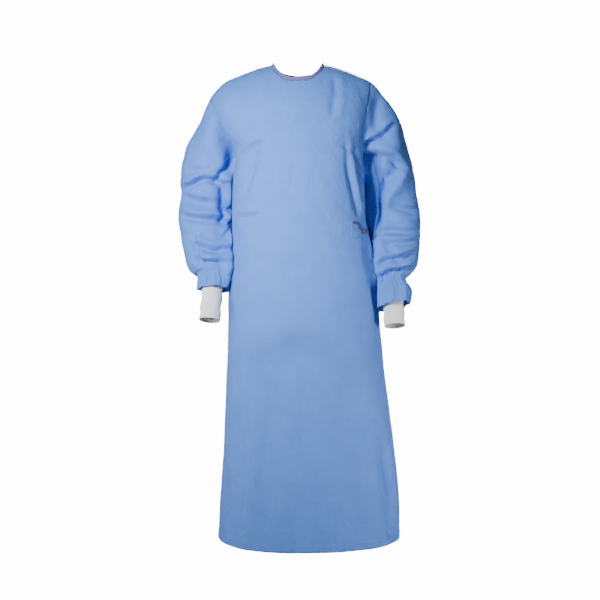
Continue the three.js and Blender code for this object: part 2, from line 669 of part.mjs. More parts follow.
// The belt tape runs from the outer back panel round the left side to the knot, over the panels' columns.
function beltGeometry() {
  const heights = [BELT_Z - BELT_WIDTH / 2, BELT_Z + BELT_WIDTH / 2];
  const tapeOn = (panel, column) => heights.map((z) => onColumn(panel, column, z, SEAM + TAPE));
  const tapeEnd = heights.map((z) => onFront(BELT_END_X, z, SEAM + TAPE));
  const start = front.grid.findIndex((_, column) => onColumn(front, column, BELT_Z, 0).x > BELT_END_X + TAPE);
  const freeEdgeX = onColumn(backRight, 0, BELT_Z, 0).x;
  const isUnderLap = (_, column) => onColumn(backLeft, column, BELT_Z, 0).x < freeEdgeX;
  const sideEnd = backLeft.grid.findIndex(isUnderLap) - BELT_SHORT_OF_LAP;
  const beforeSide = front.grid.slice(start, -1).map((_, index) => tapeOn(front, start + index));
  const onSide = backLeft.grid.slice(0, sideEnd).map((_, column) => tapeOn(backLeft, column));
  const onBack = backRight.grid.slice(0, BELT_ON_BACK).map((_, column) => tapeOn(backRight, column));
  return stripGeometry([tapeEnd, ...beforeSide, ...onSide, ...onBack], TAPE);
}

function knotMesh() {
  const geometry = new THREE.SphereGeometry(1, KNOT_SEGMENTS, KNOT_RINGS);
  geometry.scale(KNOT.wide, KNOT.deep, KNOT.tall);
  const mesh = piece('belt_knot', geometry, BINDING_MAUVE);
  const face = bodyNormal(angleAtX(KNOT.x, KNOT.z), KNOT.z);
  mesh.position.copy(onFront(KNOT.x, KNOT.z, SEAM + TAPE + SEAM + KNOT.deep));
  mesh.quaternion.setFromUnitVectors(new THREE.Vector3(0, -1, 0), face);
  return mesh;
}

const gown = new THREE.Group();
gown.add(piece('front', front.geometry, CLOTH_BLUE));
gown.add(piece('back_left', backLeft.geometry, CLOTH_BLUE));
gown.add(piece('back_right', backRight.geometry, CLOTH_BLUE));
gown.add(piece('sleeve_right', sleeveRight.geometry, CLOTH_BLUE));
gown.add(piece('sleeve_left', sleeveLeft.geometry, CLOTH_BLUE));
gown.add(piece('cuff_right', cuffGeometry('right', sleeveRight.gathered), KNIT_WHITE));
gown.add(piece('cuff_left', cuffGeometry('left', sleeveLeft.gathered), KNIT_WHITE));
gown.add(piece('neck_binding', bindingGeometry(), BINDING_MAUVE));
gown.add(piece('tie_patch', patchGeometry(), CLOTH_BLUE));
gown.add(piece('tie_short', tieGeometry(), BINDING_MAUVE));
gown.add(piece('belt', beltGeometry(), BINDING_MAUVE));
gown.add(knotMesh());

export default gown;
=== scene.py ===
import math

import bpy
import numpy as np
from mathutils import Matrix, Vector, noise
from mathutils.bvhtree import BVHTree


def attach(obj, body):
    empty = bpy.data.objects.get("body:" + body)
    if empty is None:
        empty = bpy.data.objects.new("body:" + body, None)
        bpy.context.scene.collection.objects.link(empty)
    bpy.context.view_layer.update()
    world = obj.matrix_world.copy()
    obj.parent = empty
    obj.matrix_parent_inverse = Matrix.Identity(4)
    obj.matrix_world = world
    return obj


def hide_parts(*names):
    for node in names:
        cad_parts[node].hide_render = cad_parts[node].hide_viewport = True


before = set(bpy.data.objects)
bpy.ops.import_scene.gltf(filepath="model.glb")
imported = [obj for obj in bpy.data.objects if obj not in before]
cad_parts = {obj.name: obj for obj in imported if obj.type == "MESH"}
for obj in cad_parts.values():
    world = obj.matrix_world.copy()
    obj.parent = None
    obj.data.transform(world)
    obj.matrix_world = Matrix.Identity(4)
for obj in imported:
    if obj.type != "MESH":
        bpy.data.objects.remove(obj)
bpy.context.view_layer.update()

bpy.ops.object.select_all(action="DESELECT")


# Front panel
# One whole piece of light blue polycotton cloth from neck to hem, closely woven and washed soft.
# It is sewn to the back panels at the shoulders and sides; its hem is turned up and stitched.

HEM_Z = -1.177
ARMPIT_Z = -0.235
CHEST_Z = -0.420
OVAL_POWER = 0.87
SHOULDER_ROLL = 0.140
NECK_HALF_WIDTH = 0.069
NECK_FRONT_Z = 0.004
NECK_BACK_Z = 0.017
SHOULDER_X = {"right": 0.225, "left": 0.1885}
SEAM_GAP = 0.0003
CLOTH_WALL = 0.0009
HEM_HEIGHT = 0.022
HEM_DOUBLE = 0.0007
HEM_STEP = (-0.001, 0.002)
HEM_DRAW = 0.0009
HEM_DRAW_REACH = 0.0025
HEM_STITCH_BELOW = 0.002
HEM_STITCH_INSET = 2
NECK_COLUMNS = 24
SHOULDER_COLUMNS = 30
SKIRT_ROWS = 150
SIDE_ROWS = 37
ARMHOLE_ROWS = 56
COLUMN_SPREAD = 3
CURVE_POINTS = 400
HALVINGS = 40
TINY = 1e-12
WELD = 1e-6
RIDGE_BESIDE = 1.7
PANEL_WANDER = 0.003
WANDER_SIZE = 0.045
WANDER_SEEDS = (11.3, 27.9)
VALLEY_SOFTNESS = 0.004
VALLEY_LEVEL = 0.25
BELOW_TOP = (0.004, 0.050)
NEAR_SIDE = (0.955, 0.9995)
THREAD_PITCH = 0.0007
CLOTH_STITCH = {"pitch": 0.0042, "length": 0.0029, "radius": 0.0003, "lift": 0.0002}
GRAIN_SIDES = 6
GRAIN_BODY = 0.3
CLOTH_LIGHT = (0.100, 0.250, 0.760, 1)
CLOTH_DARK = (0.074, 0.195, 0.640, 1)
THREAD_LIGHT = (0.190, 0.340, 0.720, 1)
CLOTH_SHINE = {"Sheen Roughness": 0.4, "Specular IOR Level": 0.25}
GOWN_SHINE = {"Roughness": 0.74, "Sheen Weight": 0.12, **CLOTH_SHINE}
THREAD_SHINE = {"Roughness": 0.6, "Sheen Weight": 0.1, **CLOTH_SHINE}

# Unevenness of the panels: height, the sizes over which it changes along x, y and z, and its seed.
PANEL_WAVES = (0.0016, (0.07, 0.07, 0.16), 3.7)
PANEL_CRUMPLES = (0.0030, (0.06, 0.06, 0.10), 9.1)


def mix(low, high, share):
    return low + (high - low) * share


def ease(value, start, end):
    """0 before start, 1 after end and a smooth rise between them."""
    share = np.clip((value - start) / (end - start), 0, 1)
    return share * share * (3 - 2 * share)


def hump(value, middle, reach):
    """1 at the middle, falling softly to 0 on both sides."""
    return np.exp(-(((value - middle) / reach) ** 2))


def unit(vectors):
    """The same directions with length 1."""
    return vectors / np.maximum(np.linalg.norm(vectors, axis=-1, keepdims=True), TINY)


def run_along(points):
    """The length along a line of points, from 0 at its start."""
    return np.concatenate([[0], np.cumsum(np.linalg.norm(np.diff(points, axis=0), axis=1))])


def table(*rows):
    """A smooth table: the first column is the position, the others are values read off at it."""
    rows = np.array(rows, float)
    at, values = rows[:, 0], rows[:, 1:]
    slopes = np.diff(values, axis=0) / np.diff(at)[:, None]
    tilts = (np.concatenate([slopes[:1], slopes]) + np.concatenate([slopes, slopes[-1:]])) / 2

    def read(position):
        position = np.clip(position, at[0], at[-1])
        row = np.clip(np.searchsorted(at, position, side="right"), 1, len(at) - 1) - 1
        step = (at[row + 1] - at[row])[..., None]
        share = (position - at[row])[..., None] / step
        back = 1 - share
        level = values[row] * back**2 * (1 + 2 * share) + values[row + 1] * share**2 * (1 + 2 * back)
        lean = tilts[row] * back - tilts[row + 1] * share
        return np.moveaxis(level + step * share * back * lean, -1, 0)

    return read


# Sections from hem to neck: z, half widths on the wearer's right and left, depths to front and back.
BODY = table(
    (-1.177, 0.210, 0.268, 0.198, 0.178),
    (-1.100, 0.206, 0.267, 0.188, 0.171),
    (-1.024, 0.200, 0.261, 0.179, 0.164),
    (-0.920, 0.195, 0.250, 0.168, 0.157),
    (-0.790, 0.189, 0.232, 0.162, 0.149),
    (-0.660, 0.184, 0.217, 0.159, 0.140),
    (-0.570, 0.181, 0.210, 0.157, 0.132),
    (-0.504, 0.178, 0.207, 0.150, 0.124),
    (-0.460, 0.173, 0.199, 0.144, 0.116),
    (-0.416, 0.171, 0.190, 0.139, 0.110),
    (-0.350, 0.171, 0.176, 0.135, 0.107),
    (-0.300, 0.170, 0.174, 0.134, 0.108),
    (-0.235, 0.168, 0.172, 0.130, 0.111),
    (-0.190, 0.161, 0.170, 0.125, 0.112),
    (-0.165, 0.167, 0.172, 0.122, 0.111),
    (-0.140, 0.188, 0.176, 0.119, 0.110),
    (-0.088, 0.222, 0.187, 0.113, 0.107),
    (-0.042, 0.243, 0.197, 0.107, 0.101),
    (0.000, 0.250, 0.205, 0.100, 0.095),
    (0.052, 0.255, 0.225, 0.095, 0.088),
)

# Height of the shoulder line against the distance from the middle.
RIDGE = table(
    (0.000, 0.058),
    (0.070, 0.048),
    (0.100, 0.041),
    (0.125, 0.032),
    (0.151, 0.022),
    (0.190, 0.004),
    (0.215, -0.020),
    (0.235, -0.048),
    (0.260, -0.090),
)

# Rise of the front neck edge against the share of its half width: level in the middle, then sloping up.
NECK_RISE = table(
    (0.00, 0.000),
    (0.30, 0.020),
    (0.50, 0.105),
    (0.66, 0.265),
    (0.82, 0.515),
    (0.93, 0.765),
    (1.00, 1.000),
)

# Armhole edges: z, and degrees from the front or back middle.
ARMHOLE_EDGE = {
    "right": [
        (-0.235, 90), (-0.215, 84), (-0.190, 78), (-0.165, 73), (-0.140, 69), (-0.115, 66), (-0.088, 64.5),
    ],
    "left": [(-0.235, 90), (-0.200, 80), (-0.165, 73.5), (-0.125, 69), (-0.080, 66), (-0.040, 64.5)],
}


def signed_power(value):
    return np.sign(value) * np.abs(value) ** OVAL_POWER


def body_point(angle, z):
    """A point of the gown's body: an oval section at each height, rounded over along the shoulders."""
    right, left, front, back = BODY(z)
    across, forward = np.sin(angle), np.cos(angle)
    x = np.where(across < 0, right, left) * signed_power(across)
    below = np.clip((RIDGE(np.abs(x))[0] - z) / SHOULDER_ROLL, 0, 1)
    roll = np.sqrt(1 - (1 - below) ** 2)
    y = -np.where(forward > 0, front, back) * signed_power(forward) * roll
    return np.stack([x, y, z + 0 * x], -1)


def over_shoulder(angle, z):
    """How far a place lies below the shoulder line, measured over the rounded cloth."""
    below = (RIDGE(np.abs(body_point(angle, z)[..., 0]))[0] - z) / SHOULDER_ROLL
    rounded = np.arccos(1 - np.clip(below, 0, 1))
    return SHOULDER_ROLL * np.where(below < 1, rounded, math.pi / 2 + below - 1)


def height_at(angle, over):
    """The height of a place that lies so far below the shoulder line, found by halving."""
    low = np.full_like(angle, HEM_Z)
    high = np.full_like(angle, RIDGE(0.0)[0])
    for _ in range(HALVINGS):
        middle = (low + high) / 2
        beyond = over_shoulder(angle, middle) > np.maximum(over, 0)
        low = np.where(beyond, middle, low)
        high = np.where(beyond, high, middle)
    return high


def even_steps(point_at, count):
    """Parameters that divide a curve into steps of even length."""
    fine = np.linspace(0, 1, CURVE_POINTS)
    run = run_along(point_at(fine))
    return np.interp(np.linspace(0, run[-1], count + 1), run, fine)


def panel_half(side, faces_front):
    """Angles and heights over half a body panel, blended from its middle, chest, side and upper lines."""
    sign = 1 if side == "left" else -1

    def angle_of(turn):
        return sign * (turn if faces_front else math.pi - turn)

    def turn_at_x(x, z):
        right, left, _, _ = BODY(z)
        share = x / (left if sign > 0 else right)
        return np.arcsin(np.minimum(1, share ** (1 / OVAL_POWER)))

    def neck_at(t):
        share = np.sin(t * math.pi / 2)
        x = NECK_HALF_WIDTH * share
        rise = NECK_RISE(share)[0] if faces_front else 1 - np.cos(t * math.pi / 2)
        z = mix(NECK_FRONT_Z if faces_front else NECK_BACK_Z, RIDGE(NECK_HALF_WIDTH)[0], rise)
        return turn_at_x(x, z), z

    def shoulder_at(t):
        x = mix(NECK_HALF_WIDTH, SHOULDER_X[side], t)
        z = RIDGE(x)[0]
        return turn_at_x(x, z), z

    shoulder_turn, shoulder_z = shoulder_at(np.array(1.0))
    edge = table(*ARMHOLE_EDGE[side], (float(shoulder_z), math.degrees(shoulder_turn)))

    def armhole_at(t):
        z = mix(ARMPIT_Z, shoulder_z, 1 - (1 - t) ** 2)
        return np.radians(edge(z)[0]), z

    def side_at(t):
        return math.pi / 2 + 0 * t, mix(CHEST_Z, ARMPIT_Z, t)

    def spaced(place_at, count):
        turn, z = place_at(even_steps(lambda t: body_point(angle_of(place_at(t)[0]), place_at(t)[1]), count))
        return np.stack([turn, over_shoulder(angle_of(turn), z)], -1)

    upper = np.concatenate([spaced(neck_at, NECK_COLUMNS), spaced(shoulder_at, SHOULDER_COLUMNS)[1:]])
    outer = np.concatenate([spaced(side_at, SIDE_ROWS), spaced(armhole_at, ARMHOLE_ROWS)[1:]])
    turns = np.linspace(0, math.pi / 2, len(upper))
    chest = np.stack([turns, over_shoulder(angle_of(turns), np.full_like(turns, CHEST_Z))], -1)
    u = np.linspace(0, 1, len(upper))[:, None, None]
    v = np.linspace(0, 1, len(outer))[None, :, None]
    middle = mix(chest[0], upper[0], v[0])
    spread = np.concatenate([v**COLUMN_SPREAD, v], -1)
    along = mix(chest[:, None], upper[:, None], spread)
    across = mix(middle[None], outer[None], u)
    corners = mix(mix(chest[0], chest[-1], u), mix(upper[0], upper[-1], u), spread)
    place = along + across - corners
    angle = angle_of(place[..., 0])
    skirt_z = np.linspace(HEM_Z, CHEST_Z, SKIRT_ROWS + 1)[:-1]
    skirt_angle = np.repeat(angle_of(turns)[:, None], SKIRT_ROWS, 1)
    z = np.concatenate([np.repeat(skirt_z[None], len(turns), 0), height_at(angle, place[..., 1])], 1)
    return np.concatenate([skirt_angle, angle], 1), z


def grid_normals(grid, closed=False):
    """Outward directions of a grid of points. A closed grid runs round a tube."""
    across = np.roll(grid, -1, 0) - np.roll(grid, 1, 0) if closed else np.gradient(grid, axis=0)
    return unit(np.cross(across, np.gradient(grid, axis=1)))


def smooth_path(points, steps=6):
    """A smooth line through a few given points."""
    points = np.array(points, float)
    ends = np.concatenate([[2 * points[0] - points[1]], points, [2 * points[-1] - points[-2]]])
    t = np.linspace(0, 1, steps, endpoint=False)[:, None]
    line = []
    for a, b, c, d in zip(ends, ends[1:], ends[2:], ends[3:]):
        bend = a - 2.5 * b + 2 * c - d / 2
        twist = 1.5 * (b - c) + (d - a) / 2
        line.append(b + t * (c - a) / 2 + t**2 * bend + t**3 * twist)
    return np.concatenate([*line, points[-1:]])


def crease(places, path, width, depth, ridge=0.0, start=0.3, end=0.3):
    """How far a crease moves cloth in: a soft trough that runs out at its ends, with a ridge on its left."""
    line = smooth_path(path)
    run = run_along(line)
    run = run / run[-1]
    nearest = np.full(places.shape[:-1], np.inf)
    side = np.zeros_like(nearest)
    share = np.zeros_like(nearest)
    for here, following, before, after in zip(line, line[1:], run, run[1:]):
        step = following - here
        t = np.clip((places - here) @ step / (step @ step), 0, 1)
        off = places - here - t[..., None] * step
        distance = np.hypot(off[..., 0], off[..., 1])
        nearer = distance < nearest
        nearest = np.where(nearer, distance, nearest)
        side = np.where(nearer, np.sign(step[0] * off[..., 1] - step[1] * off[..., 0]), side)
        share = np.where(nearer, mix(before, after, t), share)
    fade = ease(share, 0, start) * ease(1 - share, 0, end)
    return depth * fade * (hump(nearest, 0, width) - ridge * hump(nearest * side / width, RIDGE_BESIDE, 1))


def uneven(points, size, seed):
    """Smooth uneven values, about -1 to 1, that change over the given sizes along x, y and z."""
    scaled = points.reshape(-1, 3) / size + seed
    return np.array([noise.noise(Vector(place)) for place in scaled]).reshape(points.shape[:-1])


def cloth_waves(points, waves, crumples):
    """Slow waves and small valleys with soft bottoms, as on cloth that has been handled."""
    valleys = np.sqrt(uneven(points, *crumples[1:]) ** 2 + VALLEY_SOFTNESS) - VALLEY_LEVEL
    return waves[0] * uneven(points, *waves[1:]) + crumples[0] * valleys


def wandering(points, wander):
    """Places as seen from the front, shifted a little so that no crease runs quite straight."""
    shift = np.stack([uneven(points, WANDER_SIZE, seed) for seed in WANDER_SEEDS], -1)
    return points[..., [0, 2]] + wander * shift


def add_object(name, data):
    made = bpy.data.objects.new(name, data)
    bpy.context.collection.objects.link(made)
    return made


def cloth_piece(name, grid, wall, middle_column=0):
    """A smooth sheet through a grid of points, with a cloth map in metres and its wall turned inwards."""
    across = np.cumsum(np.linalg.norm(np.diff(grid, axis=0, prepend=grid[:1]), axis=2), axis=0)
    along = np.cumsum(np.linalg.norm(np.diff(grid, axis=1, prepend=grid[:, :1]), axis=2), axis=1)
    corner = np.arange(across.size).reshape(across.shape)
    corners = (corner[:-1, :-1], corner[1:, :-1], corner[1:, 1:], corner[:-1, 1:])
    faces = np.stack(corners, -1).reshape(-1, 4)
    mesh = bpy.data.meshes.new(name)
    mesh.from_pydata(grid.reshape(-1, 3).tolist(), [], faces.tolist())
    flat = np.stack([(across - across[middle_column]).ravel(), along.ravel()], -1)
    mesh.uv_layers.new(name="cloth").data.foreach_set("uv", flat[faces.ravel()].ravel())
    piece = add_object(name, mesh)
    bpy.context.view_layer.objects.active = piece
    piece.select_set(True)
    bpy.ops.object.mode_set(mode="EDIT")
    bpy.ops.mesh.select_all(action="SELECT")
    bpy.ops.mesh.remove_doubles(threshold=WELD)
    bpy.ops.object.mode_set(mode="OBJECT")
    bpy.ops.object.shade_smooth()
    thickness = piece.modifiers.new("wall", "SOLIDIFY")
    thickness.thickness = wall
    thickness.offset = -1
    bpy.ops.object.modifier_apply(modifier="wall")
    piece.select_set(False)
    return piece


def dress(piece, finish, node=None):
    """Gives a piece its finish and says where it belongs: on the part's one body, in place of a node."""
    piece.data.materials.append(finish)
    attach(piece, "root")
    if node:
        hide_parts(node)


class Socket:
    """One output of a material's nodes, so that shader maths is written as plain sums."""

    def __init__(self, tree, output=None):
        self.tree = tree
        self.output = output

    def node(self, kind, settings=None, sockets=None, out=0):
        made = self.tree.nodes.new(kind)
        for name, value in (settings or {}).items():
            setattr(made, name, value)
        for name, value in (sockets or {}).items():
            if isinstance(value, Socket):
                self.tree.links.new(value.output, made.inputs[name])
            else:
                made.inputs[name].default_value = value
        return Socket(self.tree, made.outputs[out])

    def maths(self, operation, *values):
        return self.node("ShaderNodeMath", {"operation": operation}, dict(enumerate(values)))

    def sine(self):
        return self.maths("SINE", self)

    def __add__(self, other):
        return self.maths("ADD", self, other)

    def __sub__(self, other):
        return self.maths("SUBTRACT", self, other)

    def __rsub__(self, other):
        return self.maths("SUBTRACT", other, self)

    def __mul__(self, other):
        return self.maths("MULTIPLY", self, other)

    __radd__ = __add__
    __rmul__ = __mul__


def new_finish(name, inputs, varied=None, *colours):
    """A material from constant inputs and a function that makes those that vary from place to place."""
    material = bpy.data.materials.new(name)
    material.use_nodes = True
    shader = material.node_tree.nodes["Principled BSDF"]
    for socket, value in inputs.items():
        shader.inputs[socket].default_value = value
    if varied:
        for socket, value in varied(Socket(material.node_tree), *colours).items():
            material.node_tree.links.new(value.output, shader.inputs[socket])
    return material


def cloth_uv(nodes):
    """The cloth map's two directions, in metres across and along the weave."""
    cloth_map = nodes.node("ShaderNodeUVMap", {"uv_map": "cloth"})
    return [nodes.node("ShaderNodeSeparateXYZ", None, {"Vector": cloth_map}, out) for out in ("X", "Y")]


def clouds(nodes, scale, detail, distortion=0.0):
    """Cloudy values, about 0 to 1, that lie fixed in the piece."""
    place = nodes.node("ShaderNodeTexCoord", None, None, "Object")
    sockets = {"Vector": place, "Scale": scale, "Detail": detail, "Distortion": distortion}
    return nodes.node("ShaderNodeTexNoise", None, sockets)


def between(nodes, share, dark, light):
    """A colour that varies between two."""
    return nodes.node("ShaderNodeMix", {"data_type": "RGBA"}, {"Factor": share, 6: dark, 7: light}, 2)


def bump(nodes, height, distance, strength, **under):
    sockets = {"Height": height, "Distance": distance, "Strength": strength, **under}
    return nodes.node("ShaderNodeBump", None, sockets)


def plain_weave(nodes, dark, light):
    """Plain weave with soft mottling, small crumples and a faint bloom."""
    across, along = cloth_uv(nodes)
    turn = 2 * math.pi / THREAD_PITCH
    weave = (across * turn).sine() * (along * turn).sine()
    mottle = clouds(nodes, scale=26.0, detail=4.0)
    slub = clouds(nodes, scale=420.0, detail=2.0)
    crumple = clouds(nodes, scale=30.0, detail=5.0, distortion=0.8)
    fine = bump(nodes, weave, distance=0.00012, strength=0.5)
    return {
        "Base Color": between(nodes, mottle * 0.7 + slub * 0.3 + weave * 0.06, dark, light),
        "Roughness": slub * 0.12 + 0.68,
        "Normal": bump(nodes, crumple, distance=0.0040, strength=0.7, Normal=fine),
    }


def twisted_thread(nodes, dark, light):
    """Sewing thread in the cloth's own colour, a little lighter where it is fuzzy."""
    return {"Base Color": between(nodes, clouds(nodes, scale=900.0, detail=2.0), dark, light)}


def stitch_row(name, points, normals, finish, stitch):
    """A row of thread stitches along a line on the cloth, each a short grain lying on the surface."""
    points = points + normals * stitch["lift"]
    run = run_along(points)
    at = (np.arange(int(run[-1] / stitch["pitch"])) + 0.5) * stitch["pitch"]
    centre, ahead, up = (
        np.stack([np.interp(where, run, column) for column in source.T], -1)[:, None]
        for where, source in ((at, points), (at + stitch["length"], points), (at, normals))
    )
    forward = unit(ahead - centre)
    up = unit(up)
    corner = (np.arange(GRAIN_SIDES) * 2 * math.pi / GRAIN_SIDES)[None, :, None]
    spokes = (np.cross(forward, up) * np.cos(corner) + up * np.sin(corner)) * stitch["radius"]
    tip = forward * stitch["length"] / 2
    body = forward * stitch["length"] * GRAIN_BODY
    verts = np.concatenate([centre - tip, centre - body + spokes, centre + body + spokes, centre + tip], 1)
    grain = []
    for here in range(1, GRAIN_SIDES + 1):
        beside = here % GRAIN_SIDES + 1
        grain.append((0, here, beside))
        grain.append((here, here + GRAIN_SIDES, beside + GRAIN_SIDES, beside))
        grain.append((2 * GRAIN_SIDES + 1, beside + GRAIN_SIDES, here + GRAIN_SIDES))
    firsts = np.arange(len(at)) * verts.shape[1]
    faces = [[int(first) + each for each in face] for first in firsts for face in grain]
    mesh = bpy.data.meshes.new(name)
    mesh.from_pydata(verts.reshape(-1, 3).tolist(), [], faces)
    mesh.polygons.foreach_set("use_smooth", [True] * len(faces))
    row = add_object(name, mesh)
    dress(row, finish)
    return row


def hem_fold(z):
    """The turned-up hem: double cloth up to its stitch line, which draws the cloth in a little."""
    line = HEM_Z + HEM_HEIGHT
    double = 1 - ease(z, line + HEM_STEP[0], line + HEM_STEP[1])
    return HEM_DOUBLE * double - HEM_DRAW * hump(z, line, HEM_DRAW_REACH)


# Creases of the front as seen from the front: path of x and z, width, depth, the ridge beside it as a share
# of the depth and, where they aren't the usual ones, the shares of the path over which its ends run out.
FRONT_CREASES = [
    ([(0.114, -0.11), (0.126, -0.207), (0.141, -0.285), (0.156, -0.347)], 0.007, 0.011, 0.6, 0.7, 0.15),
    (
        [(0.171, -0.386), (0.177, -0.424), (0.188, -0.483), (0.201, -0.553), (0.216, -0.68)],
        0.008, 0.0155, 0.6, 0.15, 0.5,
    ),
    ([(0.143, -0.13), (0.149, -0.18), (0.156, -0.25), (0.166, -0.325)], 0.006, 0.0065, 0.4, 0.6, 0.3),
    ([(-0.112, -0.2), (-0.131, -0.254), (-0.15, -0.3)], 0.012, 0.0085, 0.3),
    ([(-0.172, -0.336), (-0.134, -0.341), (-0.088, -0.334)], 0.007, 0.0048, 0.6),
    ([(-0.126, -0.08), (-0.111, -0.172), (-0.123, -0.26)], 0.018, 0.0063, 0.2),
    ([(0.091, 0.03), (0.094, -0.033), (0.085, -0.1)], 0.01, 0.0045, 0.4),
    ([(-0.16, -0.215), (-0.118, -0.17), (-0.07, -0.145)], 0.009, 0.0048, 0.5),
    ([(0.16, -0.2), (0.128, -0.168), (0.084, -0.15)], 0.009, 0.0042, 0.5),
    ([(-0.14, -0.1), (0.0, -0.106), (0.13, -0.1)], 0.016, 0.0024, 0.0),
    ([(0.205, -0.88), (0.22, -0.99), (0.231, -1.07), (0.243, -1.215)], 0.012, 0.015, 0.4, 0.3, 0.5),
    ([(-0.142, -0.76), (-0.156, -0.95), (-0.176, -1.23)], 0.022, 0.0097, 0.4),
    ([(-0.066, -0.68), (-0.08, -0.93), (-0.1, -1.24)], 0.034, 0.009, 0.4),
    ([(0.01, -0.76), (0.02, -0.98), (0.034, -1.24)], 0.03, 0.0075, 0.3),
    ([(0.108, -0.7), (0.126, -0.94), (0.15, -1.24)], 0.032, 0.009, 0.4),
]

# The belly's lower edge, from which the skirt falls: the cloth swells a little above this arch.
BELLY_ARCH = [
    (-0.170, -0.750), (-0.120, -0.676), (-0.070, -0.628), (-0.015, -0.603), (0.050, -0.616), (0.118, -0.661),
    (0.205, -0.790),
]
BELLY_SWELL = 0.019
BELLY_SOFTNESS = 0.052


def clear_of_side(angle):
    """1 over most of a panel and 0 at its side seam, where all panels have to meet."""
    return 1 - ease(np.abs(np.sin(angle)), *NEAR_SIDE)


def panel_grid(angle, z, facing, creases, lift=0.0):
    """A body panel's points with creases, hem and unevenness, half a seam's gap away from its neighbours."""
    points = body_point(angle, z)
    normals = grid_normals(points)
    places = wandering(points, PANEL_WANDER)
    inward = sum(crease(places, *each) for each in creases)
    waves = cloth_waves(points, PANEL_WAVES, PANEL_CRUMPLES)
    near_top = ease(over_shoulder(angle, z), *BELOW_TOP)
    moved = near_top * (waves - inward * clear_of_side(angle)) + hem_fold(z) + lift
    points = points + normals * moved[..., None]
    return points + np.array([0, facing * SEAM_GAP / 2, 0]), normals


def hem_stitches(name, z, grid, normals):
    """Stitches along a panel's hem, a little below the top of the turned-up cloth."""
    row = int(np.argmin(np.abs(z[0] - (HEM_Z + HEM_HEIGHT - HEM_STITCH_BELOW))))
    columns = slice(HEM_STITCH_INSET, -HEM_STITCH_INSET)
    return stitch_row(name, grid[columns, row], normals[columns, row], sewing_thread, CLOTH_STITCH)


gown_cloth = new_finish("gown_cloth", GOWN_SHINE, plain_weave, CLOTH_DARK, CLOTH_LIGHT)
sewing_thread = new_finish("sewing_thread", THREAD_SHINE, twisted_thread, CLOTH_LIGHT, THREAD_LIGHT)

right_angle, right_z = panel_half("right", True)
left_angle, left_z = panel_half("left", True)
front_angle = np.concatenate([right_angle[::-1], left_angle[1:]])
front_z = np.concatenate([right_z[::-1], left_z[1:]])
belly = crease(body_point(front_angle, front_z)[..., [0, 2]], BELLY_ARCH, BELLY_SOFTNESS, BELLY_SWELL)
belly = belly * clear_of_side(front_angle)
front_grid, front_normals = panel_grid(front_angle, front_z, -1, FRONT_CREASES, belly)
front = cloth_piece("front_panel", front_grid, CLOTH_WALL, len(right_angle) - 1)
dress(front, gown_cloth, "front")
front_hem = hem_stitches("front_hem_stitching", front_z, front_grid, front_normals)
panels = {"front": {"piece": front, "angle": front_angle, "z": front_z, "grid": front_grid}}


# Back panels
# Two pieces of the same cloth that lap over each other down the middle, the right one outside.
# Their free edges are turned in and stitched, and the allowances of the seams pressed flat inside.

LAP_COLUMNS = 20
LAP_AT_NECK = math.radians(7)
LAP_AT_HEM = {"left": math.radians(23), "right": math.radians(38)}
LAP_RISE = (math.radians(138), math.radians(154))
LAP_BELOW_SHOULDER = (0.015, 0.075)
BACK_LAP = 0.0034
EDGE_RIDGE = 0.0008
EDGE_RIDGE_COLUMNS = 1.2
EDGE_DRAW = 0.0007
EDGE_DRAW_COLUMNS = 0.8
EDGE_STITCH_COLUMN = 3
EDGE_STITCH_INSET = 8
SIDE_ALLOWANCE = math.radians(2.4)
SIDE_ALLOWANCE_ENDS = (0.001, -0.004)
SHOULDER_ALLOWANCE = 0.008
ALLOWANCE_COLUMNS = 9
ALLOWANCE_INSIDE = 0.0014
ALLOWANCE_WALL = 0.0008

# Creases of both back panels, given as on the front.
BACK_CREASES = [
    ([(-0.15, -0.15), (-0.12, -0.26), (-0.1, -0.42)], 0.016, 0.0072, 0.5),
    ([(0.145, -0.14), (0.118, -0.24), (0.108, -0.36)], 0.015, 0.0065, 0.5),
    ([(-0.06, -0.33), (-0.075, -0.6), (-0.098, -1.23)], 0.03, 0.0091, 0.5),
    ([(0.07, -0.42), (0.092, -0.7), (0.125, -1.23)], 0.028, 0.0091, 0.5),
    ([(-0.14, -0.52), (-0.152, -0.82), (-0.176, -1.23)], 0.022, 0.0078, 0.4),
    ([(0.165, -0.48), (0.19, -0.8), (0.228, -1.23)], 0.024, 0.0091, 0.4),
    ([(0.02, -0.6), (0.022, -0.86), (0.03, -1.23)], 0.026, 0.0065, 0.4),
    ([(-0.165, -0.372), (-0.11, -0.384), (-0.05, -0.376)], 0.008, 0.0044, 0.6),
    ([(0.06, -0.396), (0.11, -0.392), (0.165, -0.382)], 0.008, 0.0047, 0.6),
    ([(-0.16, -0.23), (-0.11, -0.185), (-0.06, -0.16)], 0.01, 0.0044, 0.5),
    ([(0.16, -0.23), (0.112, -0.19), (0.066, -0.165)], 0.01, 0.0044, 0.5),
]


def lap_columns(side, middle_z):
    """Angles and heights past the back middle to a back panel's free edge, widening towards the hem."""
    sign = 1 if side == "left" else -1
    share = np.linspace(0, 1, LAP_COLUMNS + 1)[1:, None]
    drop = (NECK_BACK_Z - middle_z) / (NECK_BACK_Z - HEM_Z)
    angle = sign * (math.pi + share * mix(LAP_AT_NECK, LAP_AT_HEM[side], drop))
    z = np.repeat(middle_z[None], LAP_COLUMNS, 0)
    across = np.abs(body_point(angle, z)[..., 0]) / NECK_HALF_WIDTH
    rise = (RIDGE(NECK_HALF_WIDTH)[0] - NECK_BACK_Z) * (1 - np.sqrt(1 - np.minimum(1, across**2)))
    near_neck = np.clip((np.arange(len(middle_z)) - SKIRT_ROWS) / (SIDE_ROWS + ARMHOLE_ROWS), 0, 1)
    return angle, z + rise * near_neck


